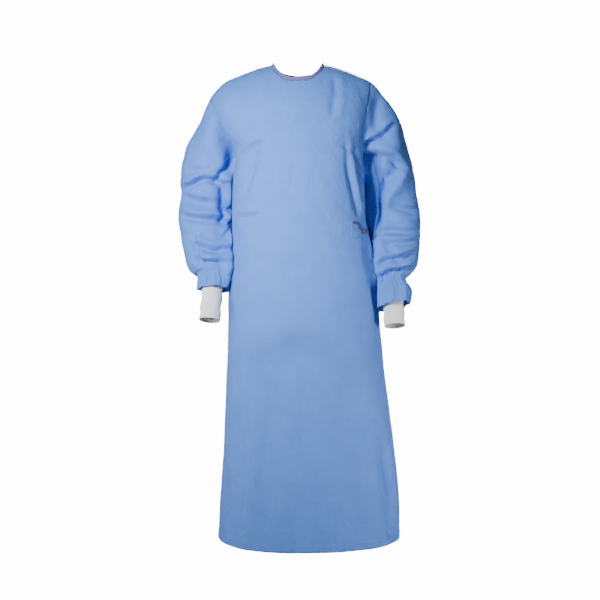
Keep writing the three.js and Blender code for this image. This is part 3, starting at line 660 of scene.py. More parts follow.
def free_edge(points, from_edge, normals):
    """The turned-in free edge: a soft ridge at the fold and a slight draw at its stitch line."""
    ridge = EDGE_RIDGE * hump(from_edge, 0, EDGE_RIDGE_COLUMNS)
    draw = EDGE_DRAW * hump(from_edge, EDGE_STITCH_COLUMN, EDGE_DRAW_COLUMNS)
    return points + normals * (ridge - draw)[:, None, None]


def side_allowance(sign):
    """Two seam allowances inside a side seam, from hem to armpit."""
    turn = sign * math.pi / 2 + SIDE_ALLOWANCE * np.linspace(-1, 1, ALLOWANCE_COLUMNS)
    z = np.linspace(HEM_Z + SIDE_ALLOWANCE_ENDS[0], ARMPIT_Z + SIDE_ALLOWANCE_ENDS[1], SKIRT_ROWS)
    angle, z = np.meshgrid(turn, z, indexing="ij")
    return panel_grid(angle, z, 0, [], -ALLOWANCE_INSIDE)[0]


def shoulder_allowance(sign):
    """Two seam allowances inside a shoulder seam, from neck to armhole."""
    columns = slice(1, SHOULDER_COLUMNS) if sign < 0 else slice(-SHOULDER_COLUMNS, -1)
    turn = np.abs(front_angle[columns, -1])[::-sign, None]
    over = np.linspace(-1, 1, ALLOWANCE_COLUMNS)[None] * SHOULDER_ALLOWANCE
    angle = sign * np.where(over < 0, turn, math.pi - turn)
    points = body_point(angle, height_at(angle, np.abs(over) + 0 * angle))
    return points + grid_normals(points) * -ALLOWANCE_INSIDE


for side, order in (("left", 1), ("right", -1)):
    half_angle, half_z = panel_half(side, False)
    lap_angle, lap_z = lap_columns(side, half_z[0])
    angle = np.concatenate([half_angle[::-1], lap_angle])[::order]
    z = np.concatenate([half_z[::-1], lap_z])[::order]
    middle_column = len(half_angle) - 1
    lift = 0.0
    if side == "right":
        middle_column = LAP_COLUMNS
        lift = BACK_LAP * ease(over_shoulder(angle, z), *LAP_BELOW_SHOULDER) * ease(np.abs(angle), *LAP_RISE)
    grid, normals = panel_grid(angle, z, 1, BACK_CREASES, lift)
    grid = free_edge(grid, np.arange(len(angle))[::-order], normals)
    back = cloth_piece(f"back_{side}_panel", grid, CLOTH_WALL, middle_column)
    panels[side] = {"piece": back, "angle": angle, "z": z, "grid": grid, "normals": normals}

for side, sign in (("left", 1), ("right", -1)):
    node = f"back_{side}"
    back, z, grid, normals = (panels[side][key] for key in ("piece", "z", "grid", "normals"))
    dress(back, gown_cloth, node)
    hem = hem_stitches(f"{node}_hem_stitching", z, grid, normals)
    column = -1 - EDGE_STITCH_COLUMN if side == "left" else EDGE_STITCH_COLUMN
    rows = slice(EDGE_STITCH_INSET, -EDGE_STITCH_INSET)
    edge = stitch_row(f"{node}_edge_stitching", grid[column, rows], normals[column, rows], sewing_thread,
                      CLOTH_STITCH)
    for seam, points in (("side", side_allowance(sign)), ("shoulder", shoulder_allowance(sign))):
        allowance = cloth_piece(f"{node}_{seam}_seam", points, ALLOWANCE_WALL)
        dress(allowance, gown_cloth)


# Sleeves
# Two full set-in sleeves of the same cloth, sewn into the armholes and bent with the arms.
# The wide cloth crumples at elbow and armpit, is gathered onto the cuff and flares below the gathers.

GATHERS = 7
FINE_GATHERS = 23
FINE_GATHER_DRIFT = 2.2
GATHER_STATIONS = 3.5
GATHER_DEPTH = {"pinched": 0.0022, "flared": 0.0016, "fine": 0.0010}
SLEEVE_WANDER = 0.006
SLEEVE_WAVES = (0.0018, 0.05, 5.3)
SLEEVE_CRUMPLES = (0.0075, (0.055, 0.055, 0.042), 1.9)
SLEEVE_REST = 0.0045
SLEEVE_WRAP = 0.014
WRAP_REST = 0.0030
CAP_ROWS = 26
CAP_ROUNDING = 6
CAP_BLEND_ROWS = (7, 9)
CLEAR_ROWS = 6
SEAM_ROWS = 4
ROWS_PER_STATION = 12
ARMHOLE_STITCH_ROW = 2
TURN_STEP = 0.01
RISE_STEP = 0.001

# Where round the sleeve something begins and is full, as the cosine or sine of the turn.
SHOULDER_END = (0.4, 0.8)
CALM_ENDS = (0.4, 0.95)
CALM_SHARE = {"inner": 0.85, "outer": 0.65}
WRAP_INNER = (0.1, 0.7)
WRAP_BACK = (0.0, 0.4)
CREASES_BEGIN = {"inner": 0.02, "outer": -0.15}
CREASES_RISE = 0.5

SLEEVES = {"right": {"sign": -1, "pinch": 9, "end": 11}, "left": {"sign": 1, "pinch": 8, "end": 10}}

# Sections: station, outer x and z, inner x and z, y, depths to front and back, lean in degrees.
SLEEVES["right"]["sections"] = table(
    (0, 0.270, -0.118, 0.171, -0.250, 0.028, 0.066, 0.066, 0),
    (1, 0.294, -0.165, 0.168, -0.272, 0.033, 0.066, 0.068, 0),
    (2, 0.306, -0.225, 0.166, -0.300, 0.034, 0.066, 0.066, 0),
    (3, 0.307, -0.285, 0.166, -0.330, 0.034, 0.064, 0.064, 5),
    (4, 0.313, -0.330, 0.167, -0.365, 0.026, 0.062, 0.062, 10),
    (5, 0.307, -0.385, 0.170, -0.405, 0.010, 0.060, 0.058, 18),
    (6, 0.294, -0.445, 0.172, -0.445, -0.012, 0.056, 0.055, 26),
    (7, 0.284, -0.472, 0.172, -0.470, -0.025, 0.050, 0.050, 30),
    (8, 0.269, -0.485, 0.174, -0.486, -0.034, 0.040, 0.042, 32),
    (9, 0.256, -0.487, 0.178, -0.500, -0.040, 0.030, 0.030, 28),
    (10, 0.257, -0.508, 0.177, -0.513, -0.047, 0.033, 0.033, 24),
    (11, 0.258, -0.526, 0.181, -0.527, -0.053, 0.036, 0.036, 20),
)
SLEEVES["left"]["sections"] = table(
    (0, 0.277, -0.120, 0.173, -0.260, 0.027, 0.066, 0.066, 0),
    (1, 0.299, -0.203, 0.172, -0.285, 0.032, 0.066, 0.068, 0),
    (2, 0.308, -0.265, 0.170, -0.320, 0.034, 0.065, 0.065, 3),
    (3, 0.319, -0.328, 0.172, -0.355, 0.030, 0.064, 0.064, 8),
    (4, 0.320, -0.369, 0.178, -0.395, 0.018, 0.062, 0.060, 15),
    (5, 0.316, -0.430, 0.184, -0.440, -0.002, 0.058, 0.056, 24),
    (6, 0.309, -0.465, 0.192, -0.480, -0.016, 0.052, 0.052, 30),
    (7, 0.293, -0.485, 0.200, -0.497, -0.024, 0.042, 0.042, 33),
    (8, 0.276, -0.502, 0.208, -0.515, -0.030, 0.031, 0.031, 32),
    (9, 0.290, -0.528, 0.201, -0.537, -0.040, 0.037, 0.037, 27),
    (10, 0.287, -0.562, 0.203, -0.577, -0.054, 0.040, 0.040, 22),
)

# Creases of both faces as seen from the front, as on the front panel. A depth below 0 is a bulge.
SLEEVES["right"]["front"] = [
    ([(-0.2, -0.08), (-0.18, -0.125), (-0.163, -0.165), (-0.156, -0.235)], 0.022, 0.034, 0.0),
    (
        [(-0.315, -0.284), (-0.277, -0.262), (-0.236, -0.245), (-0.205, -0.253), (-0.166, -0.256)],
        0.009, 0.0175, 0.5,
    ),
    ([(-0.14, -0.195), (-0.185, -0.222), (-0.203, -0.236), (-0.216, -0.262)], 0.01, 0.0145, 0.4),
    ([(-0.186, -0.24), (-0.19, -0.3), (-0.186, -0.37)], 0.014, 0.019, 0.2),
    ([(-0.15, -0.298), (-0.196, -0.343), (-0.206, -0.35)], 0.006, 0.0122, 0.6),
    ([(-0.206, -0.34), (-0.185, -0.352), (-0.15, -0.368)], 0.006, 0.01, 0.6),
    ([(-0.16, -0.345), (-0.18, -0.375), (-0.196, -0.402)], 0.006, 0.011, 0.5),
    ([(-0.312, -0.284), (-0.257, -0.302), (-0.21, -0.31)], 0.01, 0.0105, 0.6),
    ([(-0.32, -0.33), (-0.247, -0.346), (-0.203, -0.351), (-0.16, -0.378)], 0.009, 0.0125, 0.7),
    ([(-0.267, -0.37), (-0.264, -0.426), (-0.255, -0.475)], 0.009, 0.01, 0.5),
    ([(-0.29, -0.414), (-0.217, -0.423), (-0.15, -0.434)], 0.009, 0.012, 0.7),
    ([(-0.285, -0.44), (-0.24, -0.455), (-0.165, -0.46)], 0.007, 0.009, 0.6),
    ([(-0.18, -0.335), (-0.178, -0.42), (-0.178, -0.47), (-0.184, -0.53)], 0.014, -0.019, 0.0),
    ([(-0.178, -0.225), (-0.173, -0.27), (-0.177, -0.32)], 0.013, -0.014, 0.0),
    ([(-0.24, -0.05), (-0.264, -0.13), (-0.29, -0.215)], 0.018, 0.0045, 0.3),
    ([(-0.292, -0.205), (-0.262, -0.222), (-0.222, -0.226)], 0.009, 0.0045, 0.7),
]
SLEEVES["right"]["back"] = [
    ([(-0.15, -0.205), (-0.205, -0.215), (-0.265, -0.195)], 0.014, 0.0074, 0.5),
    ([(-0.15, -0.248), (-0.215, -0.282), (-0.285, -0.29)], 0.014, 0.0084, 0.5),
    ([(-0.15, -0.32), (-0.225, -0.335), (-0.32, -0.315)], 0.012, 0.0069, 0.5),
    ([(-0.16, -0.372), (-0.21, -0.402), (-0.29, -0.398)], 0.012, 0.006, 0.7),
    ([(-0.165, -0.44), (-0.225, -0.446), (-0.29, -0.43)], 0.011, 0.0056, 0.7),
    ([(-0.25, -0.06), (-0.27, -0.14), (-0.292, -0.22)], 0.024, 0.0033, 0.3),
]
SLEEVES["left"]["front"] = [
    ([(0.15, -0.168), (0.197, -0.143), (0.223, -0.126), (0.262, -0.098)], 0.008, 0.0155, 0.5),
    ([(0.14, -0.194), (0.21, -0.185), (0.241, -0.195), (0.292, -0.226)], 0.01, 0.0185, 0.4),
    ([(0.3, -0.19), (0.254, -0.254), (0.222, -0.304), (0.214, -0.36), (0.216, -0.43)], 0.017, -0.0130, 0.0),
    ([(0.178, -0.14), (0.188, -0.24), (0.191, -0.31), (0.197, -0.41)], 0.022, 0.048, 0.0),
    ([(0.276, -0.222), (0.228, -0.246), (0.18, -0.272)], 0.019, 0.023, 0.0),
    ([(0.208, -0.02), (0.202, -0.075), (0.196, -0.13)], 0.012, 0.0085, 0.0),
    ([(0.206, -0.392), (0.234, -0.424), (0.266, -0.468)], 0.008, 0.01, 0.5),
    ([(0.19, -0.382), (0.25, -0.375), (0.33, -0.384)], 0.008, 0.01, 0.5),
    ([(0.19, -0.466), (0.242, -0.451), (0.273, -0.444), (0.326, -0.43)], 0.008, 0.0145, 0.6),
    ([(0.19, -0.496), (0.237, -0.482), (0.268, -0.477), (0.316, -0.466)], 0.007, 0.0112, 0.6),
    ([(0.205, -0.402), (0.262, -0.41), (0.325, -0.398)], 0.008, 0.008, 0.6),
    ([(0.194, -0.43), (0.2, -0.48), (0.207, -0.53)], 0.012, -0.013, 0.0),
    ([(0.258, -0.08), (0.286, -0.15), (0.303, -0.235)], 0.016, 0.006, 0.3),
    ([(0.23, -0.3), (0.27, -0.318), (0.32, -0.322)], 0.01, 0.0085, 0.6),
]
SLEEVES["left"]["back"] = [
    ([(0.155, -0.2), (0.208, -0.205), (0.27, -0.18)], 0.014, 0.0079, 0.5),
    ([(0.155, -0.262), (0.22, -0.28), (0.29, -0.266)], 0.014, 0.0084, 0.5),
    ([(0.155, -0.318), (0.222, -0.352), (0.29, -0.362)], 0.012, 0.0069, 0.5),
    ([(0.17, -0.4), (0.24, -0.408), (0.325, -0.392)], 0.012, 0.006, 0.7),
    ([(0.176, -0.44), (0.236, -0.464), (0.316, -0.462)], 0.011, 0.0056, 0.7),
    ([(0.255, -0.07), (0.282, -0.15), (0.3, -0.23)], 0.024, 0.0033, 0.3),
]


def sleeve_middle(sleeve, station):
    out_x, out_z, in_x, in_z, y, _, _, _ = sleeve["sections"](station)
    return np.stack([sleeve["sign"] * (out_x + in_x) / 2, y, (out_z + in_z) / 2], -1)


def sleeve_point(sleeve, station, turn):
    """A point of the plain sleeve with the gathers that tighten towards the pinch and flare below it."""
    out_x, out_z, in_x, in_z, _, front_depth, back_depth, lean = sleeve["sections"](station)
    depth = np.where(np.sin(turn) > 0, front_depth, back_depth)
    lean = np.radians(lean)
    outward = np.stack([sleeve["sign"] * (out_x - in_x) / 2, 0 * lean, (out_z - in_z) / 2], -1)
    forward = np.stack([0 * depth, -depth * np.cos(lean), depth * np.sin(lean)], -1)
    spoke = outward * np.cos(turn)[..., None] + forward * np.sin(turn)[..., None]
    tight = ease(station, sleeve["pinch"] - GATHER_STATIONS, sleeve["pinch"])
    flare = ease(station, sleeve["pinch"], sleeve["end"])
    wave = (GATHER_DEPTH["pinched"] * tight + GATHER_DEPTH["flared"] * flare) * np.cos(GATHERS * turn)
    drift = FINE_GATHER_DRIFT * np.sin(3 * turn + station)
    fine = GATHER_DEPTH["fine"] * tight**2 * np.sin(FINE_GATHERS * turn + drift)
    stretch = 1 + (wave + fine) / np.linalg.norm(spoke, axis=-1)
    return sleeve_middle(sleeve, station) + spoke * stretch[..., None]


def clear_of_body(points, rest):
    """Moves sleeve points out to their rest beside the body."""
    right, left, front_depth, back_depth = BODY(points[..., 2])
    width = np.where(points[..., 0] < 0, right, left) + rest
    depth = np.where(points[..., 1] < 0, front_depth, back_depth) + rest
    power = 2 / OVAL_POWER
    inside = (np.abs(points[..., 0]) / width) ** power + (np.abs(points[..., 1]) / depth) ** power
    push = np.maximum(1, inside ** (-1 / power))
    return points * np.stack([push, push, np.ones_like(push)], -1)


def body_normal(angle, z):
    across = body_point(angle + TURN_STEP, z) - body_point(angle - TURN_STEP, z)
    return unit(np.cross(across, body_point(angle, z + RISE_STEP) - body_point(angle, z - RISE_STEP)))


def armhole_loop(side):
    """The armhole seam from the shoulder down the front and up the back, with its way out into the sleeve."""
    sign = SLEEVES[side]["sign"]
    front_edge, back_edge = (-1, 0) if side == "left" else (0, -1)
    rows = slice(-ARMHOLE_ROWS - 1, None)
    before, behind = panels["front"], panels[side]
    angle, z = (
        np.concatenate([before[key][front_edge, rows][::-1], behind[key][back_edge, rows][1:-1]])
        for key in ("angle", "z")
    )
    points = body_point(angle, z)
    normals = body_normal(angle, z)
    top_x = abs(points[0, 0])
    slope = (RIDGE(top_x + RISE_STEP)[0] - RIDGE(top_x - RISE_STEP)[0]) / (2 * RISE_STEP)
    normals[0] = np.array([-slope * sign, 0, 1]) / math.hypot(slope, 1)
    normals[ARMHOLE_ROWS] = (sign, 0, 0)
    along = np.roll(points, -1, 0) - np.roll(points, 1, 0)
    return points, unit(sign * np.cross(normals, along))


def sleeve_grid(side):
    """The whole sleeve: its head swells out of the armhole into the full sections, then come its creases."""
    sleeve = SLEEVES[side]
    seam, away = armhole_loop(side)
    turn = np.arange(len(seam)) / len(seam) * 2 * math.pi
    outer, forward = np.cos(turn), np.sin(turn)
    stations = np.linspace(0, sleeve["end"], sleeve["end"] * ROWS_PER_STATION + 1)
    turns, along = np.meshgrid(turn, stations, indexing="ij")
    rings = clear_of_body(sleeve_point(sleeve, along, turns), SLEEVE_REST)
    start = seam + away * SEAM_GAP
    end = rings[:, 0]
    chord = np.linalg.norm(end - start, axis=1)[:, None]
    onward = unit(rings[:, ROWS_PER_STATION // 2] - end)
    head = []
    for share in np.linspace(0, 1, CAP_ROWS + 1)[:-1]:
        square, cube = share**2, share**3
        head.append(start * (1 - 3 * square + 2 * cube) + end * (3 * square - 2 * cube)
                    + away * chord * share * (1 - share) ** 2 + onward * chord * square * (share - 1))
    head = np.stack(head, 1)
    shifts = range(-CAP_ROUNDING, CAP_ROUNDING + 1)
    rounded = sum(np.roll(head, shift, 0) for shift in shifts) / len(shifts)
    row = np.arange(CAP_ROWS)[None, :, None]
    rounding = ease(outer, *SHOULDER_END)[:, None, None] * ease(row, 0, CAP_BLEND_ROWS[0])
    rounding = rounding * (1 - ease(row, CAP_ROWS - CAP_BLEND_ROWS[1], CAP_ROWS))
    grid = np.concatenate([mix(head, rounded, rounding), rings], 1)
    normals = grid_normals(grid, closed=True) * sleeve["sign"]
    places = wandering(grid, SLEEVE_WANDER)
    begins = np.where(outer < 0, CREASES_BEGIN["inner"], CREASES_BEGIN["outer"])
    inward = 0
    for face, towards in (("front", forward), ("back", -forward)):
        on_face = ease(towards, begins, begins + CREASES_RISE)[:, None]
        inward = inward + on_face * sum(crease(places, *each) for each in sleeve[face])
    rows = np.arange(grid.shape[1])
    waves = cloth_waves(grid, SLEEVE_WAVES, SLEEVE_CRUMPLES)
    calm = 1 - CALM_SHARE["inner"] * ease(-outer, *CALM_ENDS) - CALM_SHARE["outer"] * ease(outer, *CALM_ENDS)
    moved = grid + normals * (ease(rows, 0, SEAM_ROWS)[None] * (waves * calm[:, None] - inward))[..., None]
    wrap = SLEEVE_WRAP * ease(-outer, *WRAP_INNER) * ease(-forward, *WRAP_BACK)
    wrapped = moved - np.stack([sleeve["sign"] * wrap, 0 * wrap, 0 * wrap], -1)[:, None]
    clear = ease(rows, CAP_ROWS - CLEAR_ROWS, CAP_ROWS)[None, :, None]
    return mix(moved, clear_of_body(wrapped, WRAP_REST), clear), normals


def joined(grid):
    """A grid that runs round a tube, with its first column again at its end."""
    return np.concatenate([grid, grid[:1]])


for side in ("right", "left"):
    grid, normals = (joined(each) for each in sleeve_grid(side))
    armhole_stitches = stitch_row(f"{side}_armhole_stitching", grid[:, ARMHOLE_STITCH_ROW],
                                  normals[:, ARMHOLE_STITCH_ROW], sewing_thread, CLOTH_STITCH)
    sleeve = cloth_piece(f"{side}_sleeve", grid[::-SLEEVES[side]["sign"], ::-1], CLOTH_WALL)
    dress(sleeve, gown_cloth, f"sleeve_{side}")


# Knit cuffs
# A tube of white ribbed cotton knit on each sleeve, sewn inside the gathers and snug on the wrist.
# The ribs stand out of the tube and the end is doubled over into a welt.

CUFF_RADIUS = 0.027
CUFF_LENGTH = 0.118
CUFF_TAPER = 0.026
CUFF_SEAT = 0.0042
CUFF_WALL = 0.0012
CUFF_INSET = 0.0008
WELT_LENGTH = 0.011
WELT_STEP = 0.002
WELT_HEIGHT = 0.0006
WELT_FLATTENS = 0.3
RIBS = 44
RIB_COLUMNS = 8
RIB_HEIGHT = 0.0006
CUFF_ROWS = 70
SLACK_HEIGHT = 0.0012
SLACK_LENGTH = 0.041
SLACK_LEAN = 1.4
SLACK_BEGINS = (0.02, 0.05)
LOOP_WIDTH = 0.0019
LOOP_LENGTH = 0.0013
LOOP_SLANT = 0.0004
KNIT_WHITE = (0.96, 0.96, 0.97, 1)
# Darker end of the knit's colour: a random grey fuzz, and painted shade between the loops.
KNIT_FUZZ_AND_PAINTED_SHADE = (0.82, 0.83, 0.86, 1)
KNIT_SHINE = {"Roughness": 0.9, "Sheen Weight": 0.25, **CLOTH_SHINE}


def ribbed_knit(nodes, dark, light):
    """Soft white knit: rows of small loops along each rib, with painted shade between the loops."""
    across, along = cloth_uv(nodes)
    slant = (across * (2 * math.pi / LOOP_WIDTH)).sine() * LOOP_SLANT
    loops = ((along + slant) * (2 * math.pi / LOOP_LENGTH)).sine()
    fuzz = clouds(nodes, scale=700.0, detail=3.0)
    return {
        # Base colour: the loops add painted shade between them, the fuzz a random lighter and darker tone.
        "Base Color": between(nodes, loops * 0.18 + fuzz * 0.5 + 0.4, dark, light),
        "Normal": bump(nodes, loops + fuzz, distance=0.0003, strength=0.6),
    }


cuff_knit = new_finish("cuff_knit", KNIT_SHINE, ribbed_knit, KNIT_FUZZ_AND_PAINTED_SHADE, KNIT_WHITE)
turn = np.arange(RIBS * RIB_COLUMNS) / (RIBS * RIB_COLUMNS) * 2 * math.pi
run = np.linspace(0, CUFF_LENGTH, CUFF_ROWS + 1)[None, :, None]
welt = ease(run, CUFF_LENGTH - WELT_LENGTH, CUFF_LENGTH - WELT_LENGTH + WELT_STEP)
lean = SLACK_LEAN * np.cos(turn)[:, None, None]
slack = SLACK_HEIGHT * np.sin(run * 2 * math.pi / SLACK_LENGTH + lean) * ease(run, *SLACK_BEGINS)
rib = RIB_HEIGHT * np.cos(RIBS * turn)[:, None, None] * (1 - WELT_FLATTENS * welt)
relief = rib + WELT_HEIGHT * welt + slack * (1 - welt) - CUFF_INSET
for side in ("right", "left"):
    sleeve = SLEEVES[side]
    start = sleeve_middle(sleeve, float(sleeve["pinch"]))
    axis = unit(sleeve_middle(sleeve, float(sleeve["end"])) - start)
    seat = sleeve_point(sleeve, np.full_like(turn, sleeve["pinch"]), turn)
    spoke = seat - start
    seat = seat - unit(spoke) * CUFF_SEAT
    level = unit(spoke - (spoke @ axis)[:, None] * axis)
    tube = start + level[:, None] * CUFF_RADIUS + axis * run
    grid = mix(seat[:, None] + axis * run, tube, ease(run, 0, CUFF_TAPER)) + level[:, None] * relief
    cuff = cloth_piece(f"{side}_cuff", joined(grid)[::sleeve["sign"]], CUFF_WALL)
    dress(cuff, cuff_knit, f"cuff_{side}")


# Neck binding
# A mauve cotton tape folded over the raw neck edge, from one back edge round the front to the other.
# One line of stitches along its lower edge holds both sides of the fold.

BINDING_WIDTH = 0.009
BINDING_WALL = 0.0024
BINDING_STAND = 0.8
BINDING_STITCH = {"pitch": 0.0036, "length": 0.0025, "radius": 0.00025, "lift": 0.0001}
STRAIGHT_POINTS = 6
FOLD_POINTS = 9
PUCKERS = ((0.10, 1.9), (0.08, 0.73))
SHOULDER_NEAR = 0.001
TAPE_WALL = 0.0005
TWILL_PITCH = 0.0009
MAUVE_LIGHT = (0.200, 0.165, 0.450, 1)
MAUVE_DARK = (0.140, 0.115, 0.345, 1)
TAPE_SHINE = {"Roughness": 0.7, "Sheen Weight": 0.15, **CLOTH_SHINE}


def twill_tape(nodes, dark, light):
    """Twill with fine slanting ribs and slightly worn, paler patches here and there."""
    across, along = cloth_uv(nodes)
    twill = ((across + along) * (2 * math.pi / TWILL_PITCH)).sine()
    wear = clouds(nodes, scale=120.0, detail=4.0)
    return {
        "Base Color": between(nodes, wear * 0.9 + twill * 0.12, dark, light),
        "Normal": bump(nodes, twill + wear, distance=0.0002, strength=0.6),
    }


def neck_route():
    """Points and outward directions along the neck edge, from the inner back edge to the outer one."""
    stretches = (
        ("left", slice(SHOULDER_COLUMNS, None)),
        ("front", slice(SHOULDER_COLUMNS, SHOULDER_COLUMNS + 2 * NECK_COLUMNS + 1)),
        ("right", slice(LAP_COLUMNS + NECK_COLUMNS + 1)),
    )
    points, normals = [], []
    for name, columns in stretches:
        grid, angle, z = (panels[name][key][columns, -1][::-1] for key in ("grid", "angle", "z"))
        facing = body_normal(angle, z)
        facing[over_shoulder(angle, z) < SHOULDER_NEAR] = (0, 0, 1)
        shared = 1 if points else 0
        points.append(grid[shared:])
        normals.append(facing[shared:])
    return np.concatenate(points), np.concatenate(normals)


def blurred(values, reach):
    """Values along a line, each averaged with its neighbours."""
    padded = np.concatenate([np.repeat(values[:1], reach, 0), values, np.repeat(values[-1:], reach, 0)])
    return sum(padded[k:k + len(values)] for k in range(2 * reach + 1)) / (2 * reach + 1)


binding_tape = new_finish("binding_tape", TAPE_SHINE, twill_tape, MAUVE_DARK, MAUVE_LIGHT)
route, facing = neck_route()
ahead = unit(np.gradient(blurred(route, 1), axis=0))
rise = unit(unit(np.cross(ahead, blurred(facing, 2))) + np.array([0, 0, BINDING_STAND]))
face = unit(np.cross(rise, ahead))
half_wall = BINDING_WALL / 2
straight = BINDING_WIDTH - half_wall
flat_side = np.full(STRAIGHT_POINTS, half_wall)
climb = np.linspace(0, straight, STRAIGHT_POINTS)
descent = np.linspace(straight, 0, STRAIGHT_POINTS)
fold = np.linspace(0, math.pi, FOLD_POINTS)[1:-1]
out = np.concatenate([flat_side, half_wall * np.cos(fold), -flat_side])
up = np.concatenate([climb, straight + half_wall * np.sin(fold), descent])
steps = np.arange(len(route))
pucker = 1 + sum(height * np.sin(steps * pace) for height, pace in PUCKERS)
aside = out[None] * pucker[:, None] - CLOTH_WALL / 2
base = route + rise * SEAM_GAP
binding_grid = base[:, None] + face[:, None] * aside[..., None] + rise[:, None] * up[None, :, None]
binding = cloth_piece("neck_binding_tape", binding_grid[::-1], TAPE_WALL)
dress(binding, binding_tape, "neck_binding")
binding_stitches = stitch_row("neck_binding_stitching", binding_grid[:, 1], face, binding_tape,
                              BINDING_STITCH)


# Waist tie
# A small patch of the gown's cloth on the left waist carries a short mauve tie, sewn along its top.
# The belt tape comes round the left side from the outer back panel and is knotted beside the patch.

PATCH = {"left": 0.134, "right": 0.159, "top": -0.349, "bottom": -0.391, "wall": 0.0008}
PATCH_COLUMNS = 28
PATCH_ROWS = 44
PATCH_LIFT = 0.0005 + PATCH["wall"]
PATCH_STITCH = {"pitch": 0.0033, "length": 0.0023, "radius": 0.00025, "lift": 0}
PATCH_STITCH_INSET = 2
TIE_ROUTE = [(0.137, -0.3535), (0.149, -0.355), (0.155, -0.361), (0.1555, -0.370)]
TIE_STEPS = 14
TIE_WIDTH = 0.007
TIE_LIFT = PATCH_LIFT + 0.0004 + TAPE_WALL * 2
TIE_CROWN = 0.0003
TAPE_ROWS = 9
BELT_WIDTH = 0.012
BELT_Z = -0.376
BELT_START_X = 0.161
BELT_END = math.radians(174.3)
BELT_COLUMNS = 150
BELT_LIFT = 0.0006 + TAPE_WALL * 2
BELT_CROWN = 0.0012
BELT_CAST = 0.08
KNOT_X = 0.165
KNOT_SIZE = Vector((0.0062, 0.0040, 0.0058))
KNOT_STRAND = 0.0019
KNOT_FLATTENS = (1.15, 0.8)
KNOT_DEPTH = 0.6
KNOT_POINTS = 72
STRAND_POINTS = 13
KNOT_WALL = 0.0004
TIE_LIGHT = (0.120, 0.090, 0.290, 1)
TIE_DARK = (0.075, 0.055, 0.200, 1)


def cloth_tree(*pieces):
    """All faces of some pieces of cloth, for laying things on them."""
    verts, faces = [], []
    for each in pieces:
        first = len(verts)
        verts += [vert.co.copy() for vert in each.data.vertices]
        faces += [[first + corner for corner in face.vertices] for face in each.data.polygons]
    return BVHTree.FromPolygons(verts, faces)


body_cloth = cloth_tree(*(panel["piece"] for panel in panels.values()))
tie_tape = new_finish("tie_tape", TAPE_SHINE, twill_tape, TIE_DARK, TIE_LIGHT)


def on_front(x, z, away):
    """A place on the front's cloth, seen straight from the front, moved out from it."""
    place, normal, _, _ = body_cloth.ray_cast(Vector((x, -1, z)), Vector((0, 1, 0)))
    return np.array(place + normal * away)


def waist_angle(x):
    """The angle round the body at which the belt's height has the given x, on the left."""
    return math.asin((x / BODY(BELT_Z)[1]) ** (1 / OVAL_POWER))


def inset_line(grid, inset):
    """The line round a grid, some columns and rows in from its edge."""
    inner = grid[inset:-inset, inset:-inset]
    return np.concatenate([inner[:, 0], inner[-1], inner[::-1, -1], inner[0, ::-1]])


patch_x = np.linspace(PATCH["left"], PATCH["right"], PATCH_COLUMNS)
patch_z = np.linspace(PATCH["bottom"], PATCH["top"], PATCH_ROWS)
patch_grid = np.array([[on_front(x, z, PATCH_LIFT) for z in patch_z] for x in patch_x])
patch = cloth_piece("tie_patch_cloth", patch_grid, PATCH["wall"])
patch_line = inset_line(patch_grid, PATCH_STITCH_INSET)
patch_facing = inset_line(grid_normals(patch_grid), PATCH_STITCH_INSET)
patch_stitches = stitch_row("tie_patch_stitching", patch_line, patch_facing, sewing_thread, PATCH_STITCH)

tie_line = smooth_path(TIE_ROUTE, TIE_STEPS)
tie_ahead = unit(np.gradient(tie_line, axis=0))
tie_across = np.stack([-tie_ahead[:, 1], tie_ahead[:, 0]], -1)
tie_grid = np.array([
    [on_front(*(middle + aside * row * TIE_WIDTH / 2), TIE_LIFT - TIE_CROWN * row**2)
     for row in np.linspace(-1, 1, TAPE_ROWS)]
    for middle, aside in zip(tie_line, tie_across)
])
tie = cloth_piece("tie_short_tape", tie_grid, TAPE_WALL)

belt_grid = []
for angle in np.linspace(waist_angle(BELT_START_X), BELT_END, BELT_COLUMNS):
    facing = body_normal(np.array(angle), np.array(BELT_Z))
    level = Vector((facing[0], facing[1], 0)).normalized()
    column = []
    for share in np.linspace(-0.5, 0.5, TAPE_ROWS):
        middle = Vector(body_point(np.array(angle), np.array(BELT_Z + share * BELT_WIDTH)))
        place, _, _, _ = body_cloth.ray_cast(middle + level * BELT_CAST, -level)
        column.append(np.array((place or middle) + level * (BELT_LIFT - BELT_CROWN * share**2)))
    belt_grid.append(column)
belt = cloth_piece("belt_tape", blurred(np.array(belt_grid), 1), TAPE_WALL)

knot_turn = np.linspace(0, 2 * math.pi, KNOT_POINTS, endpoint=False)
knot_line = np.stack([
    (np.sin(knot_turn) + 2 * np.sin(2 * knot_turn)) / 3,
    np.sin(3 * knot_turn) * KNOT_DEPTH,
    (np.cos(knot_turn) - 2 * np.cos(2 * knot_turn)) / 3,
], -1) * (np.array(KNOT_SIZE) - KNOT_STRAND)
knot_facing = body_normal(np.array(waist_angle(KNOT_X)), np.array(BELT_Z))
turn_to = Vector((0, -1, 0)).rotation_difference(Vector(knot_facing)).to_matrix()
knot_line = knot_line @ np.array(turn_to).T + on_front(KNOT_X, BELT_Z, BELT_LIFT + KNOT_SIZE.y)
strand_ahead = unit(np.roll(knot_line, -1, 0) - np.roll(knot_line, 1, 0))
strand_side = unit(np.cross(strand_ahead, knot_facing))
strand_up = np.cross(strand_side, strand_ahead)
ring = np.linspace(0, 2 * math.pi, STRAND_POINTS)
ring_side = np.cos(ring) * KNOT_STRAND * KNOT_FLATTENS[0]
ring_up = np.sin(ring) * KNOT_STRAND * KNOT_FLATTENS[1]
knot_grid = (knot_line[:, None] + strand_side[:, None] * ring_side[None, :, None]
             + strand_up[:, None] * ring_up[None, :, None])
knot = cloth_piece("belt_knot_tape", joined(knot_grid), KNOT_WALL)

